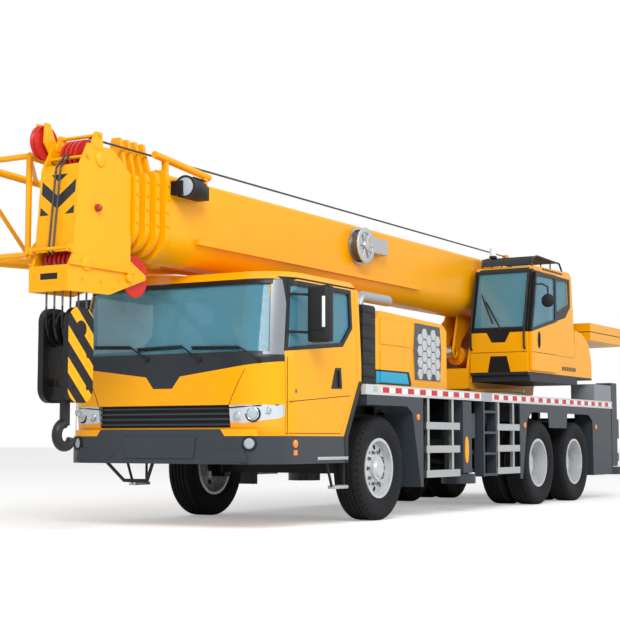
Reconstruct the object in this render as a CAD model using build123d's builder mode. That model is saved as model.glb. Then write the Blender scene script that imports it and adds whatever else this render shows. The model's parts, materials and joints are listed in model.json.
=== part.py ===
"""Three-axle truck crane with a five-section telescopic boom, stowed for the road."""

import os
from math import asin, cos, degrees, hypot, pi, radians, sin

from build123d import *

# Driving dimensions in millimetres; +X forward, +Y left, +Z up from the ground
OVERALL_LENGTH = 12200.0
FRONT_REACH = 3900.0
WIDTH = 2500.0
WHEELBASE = 4380.0
BOGIE = 1350.0
SLEW_BACK = 4950.0
DECK_Z = 1400.0

# Clearances
SEAT = 0.3
RUN = 0.05
CLEAR = 5.0
DOOR_GAP = 6.0
DOOR_SWING = 40.0

# Stations along the vehicle
FRONT_AXLE_X = OVERALL_LENGTH / 2 - FRONT_REACH
REAR_AXLE_X = (FRONT_AXLE_X - WHEELBASE, FRONT_AXLE_X - WHEELBASE - BOGIE)
SLEW_X = FRONT_AXLE_X - SLEW_BACK
HALF = WIDTH / 2

# Tyres and rims
TYRE_R = 540.0
TYRE_W = 300.0
RIM_R = 297.0
RIM_W = 220.0
RIM_WALL = 14.0
FLANGE_R = 312.0
FLANGE_T = 12.0
AXLE_Z = TYRE_R
FRONT_WHEEL_Y = 1035.0
TWIN_OUTER_Y = 1080.0
TWIN_INNER_Y = 740.0
SPINDLE_R = 55.0
HUB_R = 120.0
DISC_T = 24.0

# Steering
KINGPIN_Y = 800.0
KINGPIN_R = 28.0
AXLE_EYE_R = 62.0
AXLE_BEAM_H = 120.0
AXLE_BEAM_W = 110.0

# Frame
RAIL_Y = 400.0
RAIL_W = 110.0
RAIL_BOTTOM = 700.0
RAIL_TOP = 1120.0
FRAME_REAR = 7745.0
TURRET_HALF = 500.0
TURRET_L = 1800.0
DECK_T = 8.0
DECK_EDGE_H = 105.0
DECK_EDGE_W = 60.0
DECK_FRONT = 460.0
DECK_REAR = 7250.0
RING_R = 700.0
RING_TOP = 1480.0

# Outriggers
BEAM_W = 150.0
BEAM_H = 290.0
BEAM_Z = 1000.0
BEAM_TAIL = 1200.0
BEAM_PITCH = 210.0
BOX_WALL = 15.0
BOX_HALF = 940.0
JACK_Y = 1110.0
JACK_W = 240.0
JACK_LEG_R = 75.0
FLOAT_R = 200.0
FLOAT_H = 110.0
FLOAT_Z = 330.0
FRONT_BEAM = 2075.0
REAR_BEAM = 7400.0
JACK_BOTTOM = 450.0
FRONT_JACK_TOP = 1285.0
REAR_JACK_TOP = 1680.0

# Driver's cab
CAB_REAR = 560.0
CAB_BOTTOM = 870.0
CAB_ROOF = 2425.0
CAB_WALL = 60.0
CAB_CORNER = 400.0
BELT_Z = 1600.0
GLASS_T = 12.0
GLASS_IN = 20.0
BUMPER_Z = 608.0
BUMPER_TOP = 930.0
BUMPER_T = 70.0
LAMP_LOW = 945.0
LAMP_HIGH = 1155.0
GRILLE_HALF = 765.0

# Engine and hood
HOOD_FRONT = 30.0
HOOD_REAR = 1795.0
HOOD_HALF = 1100.0
HOOD_TOP = 2190.0
HOOD_WALL = 25.0

# Superstructure
CHEEK_IN = 335.0
CHEEK_T = 25.0
TABLE_T = 40.0
FOOT_BACK = 6850.0
FOOT_Z = 2870.0
FOOT_PIN_R = 60.0
FOOT_BOSS_R = 135.0
PLATFORM_Z = 1600.0
OP_FLOOR = 1680.0
OP_IN = 372.0
OP_OUT = 1180.0
OP_WALL = 50.0
OP_DOOR_T = 37.0
WEIGHT_LOW = 2270.0
WEIGHT_TOP = 2520.0
WEIGHT_HALF = 1200.0
WEIGHT_FRONT = 6480.0

# Luffing cylinder
RAM_BASE_BACK = 6250.0
RAM_BASE_Z = 1740.0
RAM_HEAD_BACK = 4250.0
RAM_HEAD_Z = 2010.0
RAM_R = 130.0
RAM_BORE_R = 100.0
ROD_R = 60.0
RAM_PIN_R = 50.0
RAM_EYE_HALF = 65.0

# Boom
SECTIONS = 5
BOOM_W = 620.0
BOOM_H = 795.0
BOOM_BOTTOM = 2508.0
BOOM_ROUND = 250.0
BOOM_TOP_ROUND = 40.0
BOOM_WALL = 12.0
BOOM_STEP = 30.0
PAD_GAP = 0.5
COLLAR_T = 60.0
COLLAR_PITCH = 115.0
COLLAR_X = 2610.0
COLLAR_RIM = 30.0
TAIL_PITCH = 250.0
BOOM_MID = BOOM_BOTTOM + BOOM_H / 2

# Boom head, ropes and hook
HEAD_HALF = 190.0
HEAD_PLATE = 25.0
SHEAVE_R = 150.0
SHEAVE_T = 26.0
ROPE_R = 9.0
FALL_PITCH = 90.0
HOOK_AHEAD = 3650.0
LOWER_SHEAVE_Z = 2360.0
UPPER_SHEAVE_Z = 3300.0
BLOCK_TOP = 1974.0
BLOCK_LOW = 1150.0
BLOCK_SHEAVE_Z = 1790.0
BLOCK_IN = 112.0
BLOCK_OUT = 170.0
BLOCK_HALF = 167.0
SHANK_R = 45.0
HOOK_R = 100.0
HOOK_BAR = 45.0
HOOK_Z = 875.0

# Winch
DRUM_BACK = 7620.0
DRUM_Z = 2790.0
DRUM_R = 150.0
DRUM_FLANGE_R = 225.0
DRUM_PIN_R = 45.0

# Fly jib
JIB_ROOT = 3650.0
JIB_LENGTH = 8150.0
JIB_CHORD_R = 38.0
JIB_LACE_R = 22.0
JIB_BAYS = 9
JIB_IN = 455.0
JIB_OUT = 1190.0
JIB_LOW = 2475.0
JIB_HIGH = 3370.0
JIB_TIP_TAPER_Y = 190.0
JIB_TIP_TAPER_Z = 355.0


def at(ahead):
    """X of a place measured forward of the front axle."""
    return FRONT_AXLE_X + ahead


def block(x0, x1, y0, y1, z0, z1, mode=Mode.ADD):
    """Box between two corners."""
    with Locations(((x0 + x1) / 2, (y0 + y1) / 2, (z0 + z1) / 2)):
        Box(abs(x1 - x0), abs(y1 - y0), abs(z1 - z0), mode=mode)


def side_plate(points, y0, y1, mode=Mode.ADD, grow=0.0):
    """Plate with a side outline of points (ahead, z), between two y values."""
    with BuildSketch(Plane.XZ.offset(-y1)) as outline:
        Polygon(*[(at(x), z) for x, z in points], align=None)
        if grow:
            offset(amount=grow, kind=Kind.INTERSECTION)
    extrude(outline.sketch, amount=y1 - y0, dir=(0, -1, 0), mode=mode)


def front_plate(points, ahead0, ahead1, mode=Mode.ADD, grow=0.0):
    """Plate with a front outline of points (y, z), between two stations."""
    with BuildSketch(Plane.YZ.offset(at(ahead0))) as outline:
        Polygon(*points, align=None)
        if grow:
            offset(amount=grow, kind=Kind.INTERSECTION)
    extrude(outline.sketch, amount=ahead1 - ahead0, dir=(1, 0, 0), mode=mode)


def cross_pin(ahead, z, radius, y0, y1, mode=Mode.ADD):
    """Round bar along Y."""
    with BuildSketch(Plane.XZ.offset(-y1)) as outline:
        with Locations((at(ahead), z)):
            Circle(radius)
    extrude(outline.sketch, amount=y1 - y0, dir=(0, -1, 0), mode=mode)


def post(x, y, radius, z0, z1, mode=Mode.ADD):
    """Upright round bar."""
    with Locations((x, y, z0)):
        Cylinder(radius, z1 - z0, align=(Align.CENTER, Align.CENTER, Align.MIN), mode=mode)


def strut(start, end, radius, sides=0, mode=Mode.ADD):
    """Straight bar between two points, round or with flat sides."""
    line = Vector(*end) - Vector(*start)
    with BuildSketch(Plane(origin=start, z_dir=line)) as outline:
        if sides:
            RegularPolygon(radius, sides)
        else:
            Circle(radius)
    extrude(outline.sketch, amount=line.length, dir=line.normalized(), mode=mode)


def mirrored(points):
    """Outline points with y turned over."""
    return [(-y, z) for y, z in points]


def turned(x, y, side, outline, mode=Mode.ADD):
    """Ring turned about a wheel's axis from (axial, radial) points; axial counts outwards."""
    plane = Plane(origin=(x, y, AXLE_Z), x_dir=(0, side, 0), z_dir=(side, 0, 0))
    with BuildSketch(plane) as profile:
        Polygon(*outline, align=None)
    revolve(profile.sketch, axis=Axis((x, y, AXLE_Z), (0, 1, 0)), mode=mode)


def finish(builder, name):
    """Label a finished piece and write it."""
    builder.part.label = name
    export_step(builder.part, f"parts/{name}.step")


os.makedirs("parts", exist_ok=True)

# Chassis frame with outrigger boxes
RAIL_OUTLINE = [
    (-FRAME_REAR, RAIL_BOTTOM),
    (-FRAME_REAR, RAIL_TOP),
    (430, RAIL_TOP),
    (640, CAB_BOTTOM),
    (2080, CAB_BOTTOM),
    (2080, RAIL_BOTTOM),
]
BEAM_STATIONS = {
    "fl": (FRONT_BEAM, 1),
    "fr": (FRONT_BEAM + BEAM_PITCH, -1),
    "rl": (REAR_BEAM, 1),
    "rr": (REAR_BEAM + BEAM_PITCH, -1),
}
BEAM_LOW = BEAM_Z - BEAM_H / 2
BEAM_HIGH = BEAM_Z + BEAM_H / 2
RAIL_IN = RAIL_Y - RAIL_W / 2
RAIL_OUT = RAIL_Y + RAIL_W / 2
DECK_UNDER = DECK_Z - DECK_T
ARM_Z = DECK_Z - DECK_EDGE_H

with BuildPart() as chassis_frame:
    for side in (-1, 1):
        side_plate(RAIL_OUTLINE, side * RAIL_Y - RAIL_W / 2, side * RAIL_Y + RAIL_W / 2)
        for ahead in (-150.0, -1250.0, -2620.0, -3450.0, -6350.0, -7150.0):
            inner, outer = sorted((side * RAIL_IN, side * RAIL_OUT))
            block(at(ahead) - 40, at(ahead) + 40, inner, outer, RAIL_TOP, DECK_UNDER)
            inner, outer = sorted((side * RAIL_IN, side * (HALF - DECK_EDGE_W)))
            block(at(ahead) - 40, at(ahead) + 40, inner, outer, ARM_Z, DECK_UNDER)
    for ahead in (2000.0, 700.0, -3300.0, -FRAME_REAR + 60):
        top = CAB_BOTTOM if ahead > 0 else RAIL_TOP
        block(at(ahead) - 60, at(ahead) + 60, -RAIL_Y, RAIL_Y, max(top - 200, RAIL_BOTTOM), top)
    block(
        SLEW_X - TURRET_L / 2, SLEW_X + TURRET_L / 2, -TURRET_HALF, TURRET_HALF, RAIL_TOP - 250, DECK_UNDER
    )
    for first in (FRONT_BEAM, REAR_BEAM):
        block(
            at(-first - BEAM_PITCH - BEAM_W / 2 - CLEAR - BOX_WALL),
            at(-first + BEAM_W / 2 + CLEAR + BOX_WALL),
            -BOX_HALF, BOX_HALF, BEAM_LOW - SEAT - BOX_WALL, BEAM_HIGH + CLEAR + BOX_WALL,
        )
    for back, side in BEAM_STATIONS.values():
        block(
            at(-back) - BEAM_W / 2 - CLEAR, at(-back) + BEAM_W / 2 + CLEAR,
            -HALF, HALF, BEAM_LOW - SEAT, BEAM_HIGH + CLEAR, mode=Mode.SUBTRACT,
        )
    block(at(-FRAME_REAR - 70), at(-FRAME_REAR), -1150, 1150, 520, 640)
    for side in (-1, 1):
        inner, outer = sorted((side * RAIL_IN, side * RAIL_OUT))
        block(at(-FRAME_REAR - 70), at(-FRAME_REAR), inner, outer, 640, RAIL_TOP)
finish(chassis_frame, "chassis_frame")

# Deck with its edge channels and rear deck boxes
with BuildPart() as deck:
    block(at(-DECK_REAR), at(DECK_FRONT), -HALF, HALF, DECK_UNDER, DECK_Z)
    block(at(-HOOD_REAR), at(DECK_FRONT), -480, 480, DECK_UNDER, DECK_Z, mode=Mode.SUBTRACT)
    post(SLEW_X, 0, RING_R + 20, DECK_UNDER, DECK_Z, mode=Mode.SUBTRACT)
    for side in (-1, 1):
        inner, outer = sorted((side * (HALF - DECK_EDGE_W), side * HALF))
        block(at(-DECK_REAR), at(DECK_FRONT), inner, outer, ARM_Z, DECK_UNDER)
        inner, outer = sorted((side * 900, side * HALF))
        block(at(-7200), at(-6464), inner, outer, DECK_Z, 1636)
finish(deck, "deck")

# Front axle beam with leaf springs
with BuildPart() as front_axle:
    low, high = AXLE_Z - AXLE_BEAM_H / 2, AXLE_Z + AXLE_BEAM_H / 2
    block(at(0) - AXLE_BEAM_W / 2, at(0) + AXLE_BEAM_W / 2, -KINGPIN_Y, KINGPIN_Y, low, high)
    for side in (-1, 1):
        post(at(0), side * KINGPIN_Y, AXLE_EYE_R, low, high)
        post(at(0), side * KINGPIN_Y, KINGPIN_R + RUN, low, high, mode=Mode.SUBTRACT)
        spring = [(-750, RAIL_BOTTOM), (-750, 660), (0, high), (750, 660), (750, RAIL_BOTTOM), (690, RAIL_BOTTOM)]
        spring += [(0, high + 60), (-690, RAIL_BOTTOM)]
        side_plate(spring, side * RAIL_Y - 40, side * RAIL_Y + 40)
finish(front_axle, "front_axle")

# Rear axles with final drives, springs and drive shafts
with BuildPart() as rear_axles:
    for axle_x in REAR_AXLE_X:
        ahead = axle_x - FRONT_AXLE_X
        cross_pin(ahead, AXLE_Z, 85, -TWIN_INNER_Y - 60, TWIN_INNER_Y + 60)
        cross_pin(ahead, AXLE_Z, SPINDLE_R, -TWIN_OUTER_Y + 60, TWIN_OUTER_Y - 60)
        with Locations((axle_x, 0, AXLE_Z)):
            Sphere(200)
    middle = (REAR_AXLE_X[0] + REAR_AXLE_X[1]) / 2 - FRONT_AXLE_X
    for side in (-1, 1):
        spring = [(middle - BOGIE / 2 - 80, AXLE_Z + 60), (middle, AXLE_Z + 180)]
        spring += [(middle + BOGIE / 2 + 80, AXLE_Z + 60), (middle + BOGIE / 2 + 80, AXLE_Z + 90)]
        spring += [(middle + 120, AXLE_Z + 280), (middle - 120, AXLE_Z + 280)]
        spring += [(middle - BOGIE / 2 - 80, AXLE_Z + 90)]
        inner, outer = sorted((side * (RAIL_OUT + 5), side * (RAIL_OUT + 95)))
        side_plate(spring, inner, outer)
        inner, outer = sorted((side * RAIL_OUT, side * (RAIL_OUT + 95)))
        cross_pin(middle, AXLE_Z + 230, 70, inner, outer)
    strut((REAR_AXLE_X[0], 0, AXLE_Z), (at(-1910), 0, 760), 55)
    strut((REAR_AXLE_X[1], 0, AXLE_Z), (REAR_AXLE_X[0], 0, AXLE_Z), 50)
finish(rear_axles, "rear_axles")

# Engine and gearbox
with BuildPart() as engine:
    block(at(-1350), at(-80), -RAIL_IN + 15, RAIL_IN - 15, 760, 1650)
    block(at(-80), at(250), -RAIL_IN + 15, RAIL_IN - 15, 760, 1380)
    block(at(-1900), at(-1350), -200, 200, 700, 1100)
    for side in (-1, 1):
        inner, outer = sorted((side * (RAIL_IN - 15), side * RAIL_IN))
        block(at(-700), at(-500), inner, outer, 950, 1100)
finish(engine, "engine")

# Engine hood
HOOD_OUTLINE = [
    (-HOOD_REAR, DECK_Z),
    (-HOOD_REAR, HOOD_TOP - 100),
    (-HOOD_REAR + 110, HOOD_TOP - 30),
    (-HOOD_FRONT - 100, HOOD_TOP + 12),
    (-HOOD_FRONT, HOOD_TOP - 80),
    (-HOOD_FRONT, DECK_Z),
]
with BuildPart() as engine_hood:
    side_plate(HOOD_OUTLINE, -HOOD_HALF, HOOD_HALF)
    side_plate(HOOD_OUTLINE, -HOOD_HALF + HOOD_WALL, HOOD_HALF - HOOD_WALL, Mode.SUBTRACT, -HOOD_WALL)
    block(
        at(-HOOD_REAR + HOOD_WALL), at(-HOOD_FRONT - HOOD_WALL), -HOOD_HALF + HOOD_WALL,
        HOOD_HALF - HOOD_WALL, DECK_Z, DECK_Z + HOOD_WALL, mode=Mode.SUBTRACT,
    )
finish(engine_hood, "engine_hood")

# Air intake column and exhaust pipe
PIPE_R = 60.0
PIPE_BEND = 130.0
PIPE_Z = 2350.0
PIPE_AHEAD = 100.0
PIPE_Y = 950.0
PIPE_TAIL = 600.0
INTAKE_TOP = 2225.0
with BuildPart() as intake_exhaust:
    block(at(-HOOD_FRONT + SEAT), at(250), HOOD_HALF - 260, HOOD_HALF, DECK_Z, INTAKE_TOP)
    bend_x, bend_z = at(PIPE_AHEAD - PIPE_BEND), PIPE_Z - PIPE_BEND
    bend_mid = (bend_x + PIPE_BEND * cos(pi / 4), bend_z + PIPE_BEND * sin(pi / 4))
    with BuildLine(Plane.XZ.offset(-PIPE_Y)) as pipe_line:
        Line((at(PIPE_AHEAD), INTAKE_TOP - 40), (at(PIPE_AHEAD), bend_z))
        ThreePointArc((at(PIPE_AHEAD), bend_z), bend_mid, (bend_x, PIPE_Z))
        Line((bend_x, PIPE_Z), (at(-PIPE_TAIL), PIPE_Z))
    with BuildSketch(Plane(origin=(at(PIPE_AHEAD), PIPE_Y, INTAKE_TOP - 40), z_dir=(0, 0, 1))) as pipe_end:
        Circle(PIPE_R)
    sweep(pipe_end.sketch, path=pipe_line.line)
finish(intake_exhaust, "intake_exhaust")

# Driver's cab: level, front, rear and half width of each plan section
CAB_LEVELS = [
    (CAB_BOTTOM, 2200.0, CAB_REAR, HALF),
    (1150.0, 2240.0, CAB_REAR, HALF),
    (BELT_Z, 2225.0, CAB_REAR, HALF),
    (CAB_ROOF - 95, 2060.0, CAB_REAR, HALF - 35),
    (CAB_ROOF, 1960.0, CAB_REAR + 40, HALF - 100),
]
ARCH_LOW = 913.0
ARCH_HIGH = 544.0


def cab_section(level, inset, lift):
    """Plan outline of the cab at one level, drawn in by an inset."""
    z, front, rear, half = level
    with BuildSketch(Plane.XY.offset(z + lift)) as section:
        with Locations((at((front + rear) / 2), 0)):
            Rectangle(front - rear - 2 * inset, 2 * (half - inset))
        fillet(section.vertices().group_by(Axis.X)[-1], CAB_CORNER - inset)
    return section.sketch


def cab_solid(inset):
    """Closed cab body, drawn in by an inset, with the slope over the wheel."""
    lifts = [inset] + [0] * (len(CAB_LEVELS) - 2) + [-inset]
    with BuildPart() as body:
        loft([cab_section(level, inset, lift) for level, lift in zip(CAB_LEVELS, lifts)], ruled=True)
        arch = [(ARCH_LOW, CAB_BOTTOM), (ARCH_HIGH, DECK_Z), (ARCH_HIGH - 200, DECK_Z)]
        arch += [(ARCH_HIGH - 200, CAB_BOTTOM - 100), (ARCH_LOW + 70, CAB_BOTTOM - 100)]
        side_plate(arch, -HALF - 50, HALF + 50, Mode.SUBTRACT, inset)
    return body.part


DOOR_OUTLINE = [
    (1975, 890), (1990, 1640), (1850, CAB_ROOF - 70), (640, CAB_ROOF - 70), (640, 1390), (985, 890),
]
DOOR_SILL = CAB_BOTTOM + CAB_WALL + 20
DOOR_UPPER = [
    (1976, DOOR_SILL), (1990, 1640), (1850, CAB_ROOF - 70), (640, CAB_ROOF - 70), (640, 1390), (944, DOOR_SILL),
]
HINGE_AHEAD = 1930.0
HINGE_Y = HALF - 28
HINGE_R = 7.0
HINGE_LOW = CAB_BOTTOM + 8
HINGE_HIGH = 940.0
DOOR_WINDOW = [(1935, 1695), (945, 1790), (760, 1960), (760, 2290), (1830, 2290)]
SCREEN = [(-1120, 1650), (1120, 1650), (1060, 2295), (-1060, 2295)]
LAMP_BAND = [(-HALF - 10, LAMP_LOW), (HALF + 10, LAMP_LOW), (HALF + 10, LAMP_HIGH), (-HALF - 10, LAMP_HIGH)]
LAMP_LEFT = [(GRILLE_HALF, LAMP_LOW), (HALF + 10, LAMP_LOW), (HALF + 10, LAMP_HIGH), (GRILLE_HALF, LAMP_HIGH)]
LAMP_REAR = 1990.0
cab_outer = cab_solid(0)
cab_inner = cab_solid(CAB_WALL)
glass_outer = cab_solid(GLASS_IN)
glass_inner = cab_solid(GLASS_IN + GLASS_T)

with BuildPart() as cab_shell:
    add(cab_outer)
    add(cab_inner, mode=Mode.SUBTRACT)
    for side in (-1, 1):
        inner, outer = sorted((side * (HALF - 220), side * (HALF + 20)))
        side_plate(DOOR_UPPER, inner, outer, Mode.SUBTRACT)
        skin = sorted((side * (HALF - CAB_WALL - DOOR_SWING), side * (HALF + 20)))
        side_plate(DOOR_OUTLINE, *skin, Mode.SUBTRACT)
        post(at(HINGE_AHEAD), side * HINGE_Y, HINGE_R, HINGE_LOW, HINGE_HIGH)
    front_plate(SCREEN, 1500, 2400, Mode.SUBTRACT)
    front_plate(LAMP_BAND, LAMP_REAR, 2400, Mode.SUBTRACT)
finish(cab_shell, "cab_shell")

with BuildPart() as windshield:
    add(glass_outer)
    add(glass_inner, mode=Mode.SUBTRACT)
    front_plate(SCREEN, 1500, 2400, Mode.INTERSECT, -SEAT)
finish(windshield, "windshield")

with BuildPart() as headlights:
    add(cab_outer)
    add(cab_inner, mode=Mode.SUBTRACT)
    front_plate(LAMP_BAND, LAMP_REAR, 2400, Mode.INTERSECT, -SEAT)
    block(at(LAMP_REAR - 50), at(2400), -GRILLE_HALF, GRILLE_HALF, 800, 1300, mode=Mode.SUBTRACT)
finish(headlights, "headlights")

MIRROR_X = 1660.0
for side, name in ((1, "left"), (-1, "right")):
    inner, outer = sorted((side * (HALF - 220), side * (HALF + 20)))
    with BuildPart() as door:
        add(cab_outer)
        add(cab_inner, mode=Mode.SUBTRACT)
        side_plate(DOOR_OUTLINE, inner, outer, Mode.INTERSECT, -DOOR_GAP)
        low_inner, low_outer = sorted((side * (HALF - 230), side * (HALF - CAB_WALL)))
        block(at(0), at(2200), low_inner, low_outer, CAB_BOTTOM, DOOR_SILL + DOOR_GAP, mode=Mode.SUBTRACT)
        post(at(HINGE_AHEAD), side * HINGE_Y, HINGE_R + RUN, HINGE_LOW, HINGE_HIGH + CLEAR, mode=Mode.SUBTRACT)
        side_plate(DOOR_WINDOW, inner, outer, Mode.SUBTRACT)
        for ahead, y, z in ((1938.0, HALF - 55, 1840.0), (1862.0, HALF - 72, 2200.0)):
            strut((at(ahead), side * y, z), (at(MIRROR_X), side * 1345, z), 12)
        y0, y1 = sorted((side * 1300, side * 1520))
        block(at(MIRROR_X - 45), at(MIRROR_X + 45), y0, y1, 1755, 2277)
    finish(door, f"door_{name}")
    with BuildPart() as door_glass:
        add(glass_outer)
        add(glass_inner, mode=Mode.SUBTRACT)
        side_plate(DOOR_WINDOW, inner, outer, Mode.INTERSECT, -SEAT)
    finish(door_glass, f"door_glass_{name}")

# Bumper with the grille slats above it
with BuildPart() as bumper:
    for inset, mode in ((0, Mode.ADD), (BUMPER_T, Mode.SUBTRACT)):
        front = 2285.0
        rear = 843.0 - 10 * inset
        with BuildSketch(Plane.XY.offset(BUMPER_Z)) as plan:
            with Locations((at((front - inset + rear) / 2), 0)):
                Rectangle(front - inset - rear, 2 * (HALF - inset))
            fillet(plan.vertices().group_by(Axis.X)[-1], CAB_CORNER - inset)
        extrude(plan.sketch, amount=BUMPER_TOP - BUMPER_Z, mode=mode)
    block(at(700), at(2216), -HALF, HALF, CAB_BOTTOM, BUMPER_TOP, mode=Mode.SUBTRACT)
    block(at(2080), at(2230), -RAIL_OUT, RAIL_OUT, 720, 840)
    block(at(2160), at(2180), -GRILLE_HALF, GRILLE_HALF, LAMP_LOW + SEAT, LAMP_HIGH - SEAT)
    for k in range(4):
        z = LAMP_LOW + 30 + 50 * k
        block(at(2180), at(2205), -GRILLE_HALF, GRILLE_HALF, z - 9, z + 9)
finish(bumper, "bumper")

# Seats, dashboard and steering wheel
with BuildPart() as cab_interior:
    floor = CAB_BOTTOM + CAB_WALL
    for side in (-1, 1):
        y = side * 620
        block(at(1000), at(1400), y - 180, y + 180, floor, 1250)
        block(at(950), at(1480), y - 250, y + 250, 1250, 1380)
        block(at(880), at(1010), y - 240, y + 240, 1300, 2000)
    block(at(1730), at(2060), -1000, 1000, 1250, 1540)
    block(at(1850), at(2060), -900, 900, floor, 1250)
    strut((at(1800), 620, 1500), (at(1600), 620, 1700), 30)
    wheel_axis = Vector(-0.5, 0, 1).normalized()
    with Locations(Plane(origin=(at(1600), 620, 1700), z_dir=wheel_axis)):
        Torus(220, 16)
        Cylinder(222, 16)
finish(cab_interior, "cab_interior")

# Fenders, ladders and side lockers
FRONT_FENDER = [(440, 1285), (-861, 1285), (-861, 323), (-800, 323), (-600, 1120), (-470, 1190), (440, 1190)]
REAR_SKIRT = [
    (-3648, 1285), (-3648, 347), (-3720, 347), (-3900, 1100), (-4060, 1190), (-4640, 1190), (-4670, 993),
    (-5314, 993), (-5350, 1190), (-6200, 1190), (-6370, 1100), (-6383, 336), (-7190, 336), (-7190, 1285),
]
with BuildPart() as fenders:
    for side in (-1, 1):
        inner, outer = sorted((side * 900, side * HALF))
        side_plate(FRONT_FENDER, inner, outer)
        inner, outer = sorted((side * (HALF - 13), side * HALF))
        side_plate(REAR_SKIRT, inner, outer)
        inner, outer = sorted((side * 900, side * HALF))
        block(at(-7190), at(-3648), inner, outer, 1270, 1295)
        block(at(-861), at(440), inner, outer, 1285, 1295)
        inner, outer = sorted((side * 975, side * HALF))
        block(at(-7190), at(-6383), inner, outer, 336, 1285)
        inner, outer = sorted((side * 1130, side * HALF))
        for ahead in (-2515.0, -2890.0):
            block(at(ahead) - 20, at(ahead) + 20, inner, outer, 399, ARM_Z)
        for k in range(4):
            z = 420 + 250 * k
            block(at(-2890), at(-2515), inner, outer, z - 15, z + 15)
finish(fenders, "fenders")

with BuildPart() as side_guards:
    for side in (-1, 1):
        inner, outer = sorted((side * (HALF - 35), side * HALF))
        for rear, front in ((-1824, -944), (-3636, -2921)):
            for z in (460.0, 731.0, 990.0):
                block(at(rear), at(front), inner, outer, z - 40, z + 40)
            y0, y1 = sorted((side * (HALF - 75), side * (HALF - 35)))
            for ahead in (rear + 120, front - 120):
                block(at(ahead) - 25, at(ahead) + 25, y0, y1, 420, ARM_Z)
finish(side_guards, "side_guards")

# Outrigger beams and jacks
for name, (back, side) in BEAM_STATIONS.items():
    top = FRONT_JACK_TOP if back < 4000 else REAR_JACK_TOP
    x = at(-back)
    with BuildPart() as beam:
        y0, y1 = sorted((-side * BEAM_TAIL, side * (JACK_Y - JACK_W / 2 + 10)))
        block(x - BEAM_W / 2, x + BEAM_W / 2, y0, y1, BEAM_LOW, BEAM_HIGH)
        y0, y1 = sorted((side * (JACK_Y - JACK_W / 2), side * (JACK_Y + JACK_W / 2)))
        block(x - JACK_W / 2, x + JACK_W / 2, y0, y1, JACK_BOTTOM, top)
        post(x, side * JACK_Y, JACK_LEG_R + RUN, JACK_BOTTOM, top - 40, mode=Mode.SUBTRACT)
    finish(beam, f"outrigger_beam_{name}")
    with BuildPart() as jack:
        post(x, side * JACK_Y, JACK_LEG_R, FLOAT_Z + FLOAT_H / 2, top - 40 - CLEAR)
        post(x, side * JACK_Y, FLOAT_R, FLOAT_Z, FLOAT_Z + FLOAT_H)
    finish(jack, f"outrigger_jack_{name}")

# Slewing ring
with BuildPart() as slew_ring:
    post(SLEW_X, 0, RING_R, DECK_UNDER, RING_TOP)
    post(SLEW_X, 0, RING_R - 120, DECK_UNDER, RING_TOP, mode=Mode.SUBTRACT)
finish(slew_ring, "slew_ring")

# Turntable
TABLE_Z = RING_TOP + SEAT
TABLE_TOP = TABLE_Z + TABLE_T
CHEEK = [
    (-4060, TABLE_TOP), (-4060, 1800), (-4150, 2050), (-4910, 2541), (-6500, 3050), (-6750, 3080),
    (-6950, 3080), (-7250, 2960), (-7900, 2960), (-8000, WEIGHT_TOP + SEAT), (-7345, WEIGHT_TOP + SEAT),
    (-7345, 2250), (-6900, 1760), (-6420, 1700), (-6350, TABLE_Z), (-4200, TABLE_Z),
]
RAM_LUG = [(-6480, TABLE_TOP - 10), (-6020, TABLE_TOP - 10), (-6130, 1840), (-6370, 1840)]
with BuildPart() as turntable:
    post(SLEW_X, 0, RING_R + 30, TABLE_Z, TABLE_TOP)
    block(at(-6350), at(-4200), -CHEEK_IN - 5, CHEEK_IN + 5, TABLE_Z, TABLE_TOP)
    for side in (-1, 1):
        inner, outer = sorted((side * CHEEK_IN, side * (CHEEK_IN + CHEEK_T)))
        side_plate(CHEEK, inner, outer)
        inner, outer = sorted((side * (RAM_EYE_HALF + 35), side * (RAM_EYE_HALF + 65)))
        side_plate(RAM_LUG, inner, outer)
    block(at(-4500), at(-4060), -CHEEK_IN - 5, CHEEK_IN + 5, TABLE_TOP - 10, 1780)
    block(at(-7345), at(-7320), -CHEEK_IN - 5, CHEEK_IN + 5, 2260, 2500)
    block(at(-5930), at(-4150), CHEEK_IN + 5, OP_OUT + 10, PLATFORM_Z, OP_FLOOR)
    cross_pin(-FOOT_BACK, FOOT_Z, FOOT_PIN_R, -CHEEK_IN - CHEEK_T - 15, CHEEK_IN + CHEEK_T + 15)
    cross_pin(-RAM_BASE_BACK, RAM_BASE_Z, RAM_PIN_R, -RAM_EYE_HALF - 65, RAM_EYE_HALF + 65)
    cross_pin(-DRUM_BACK, DRUM_Z, DRUM_PIN_R, -CHEEK_IN - CHEEK_T, CHEEK_IN + CHEEK_T)
finish(turntable, "turntable")

# Counterweight, round at the tail
TAIL_R = OVERALL_LENGTH / 2 + SLEW_X
with BuildPart() as counterweight:
    block(at(-9000), at(-WEIGHT_FRONT), -WEIGHT_HALF, WEIGHT_HALF, WEIGHT_LOW, WEIGHT_TOP)
    post(SLEW_X, 0, TAIL_R, WEIGHT_LOW - 10, WEIGHT_TOP + 10, mode=Mode.INTERSECT)
    slot = CHEEK_IN + CHEEK_T + SEAT
    block(at(-7345 - SEAT), at(-WEIGHT_FRONT + 10), -slot, slot, WEIGHT_LOW, WEIGHT_TOP, mode=Mode.SUBTRACT)
finish(counterweight, "counterweight")

with BuildPart() as winch_drum:
    cross_pin(-DRUM_BACK, DRUM_Z, DRUM_R, -300, 300)
    for side in (-1, 1):
        y0, y1 = sorted((side * 300, side * 325))
        cross_pin(-DRUM_BACK, DRUM_Z, DRUM_FLANGE_R, y0, y1)
    cross_pin(-DRUM_BACK, DRUM_Z, DRUM_PIN_R + RUN, -330, 330, mode=Mode.SUBTRACT)
finish(winch_drum, "winch_drum")

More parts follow.
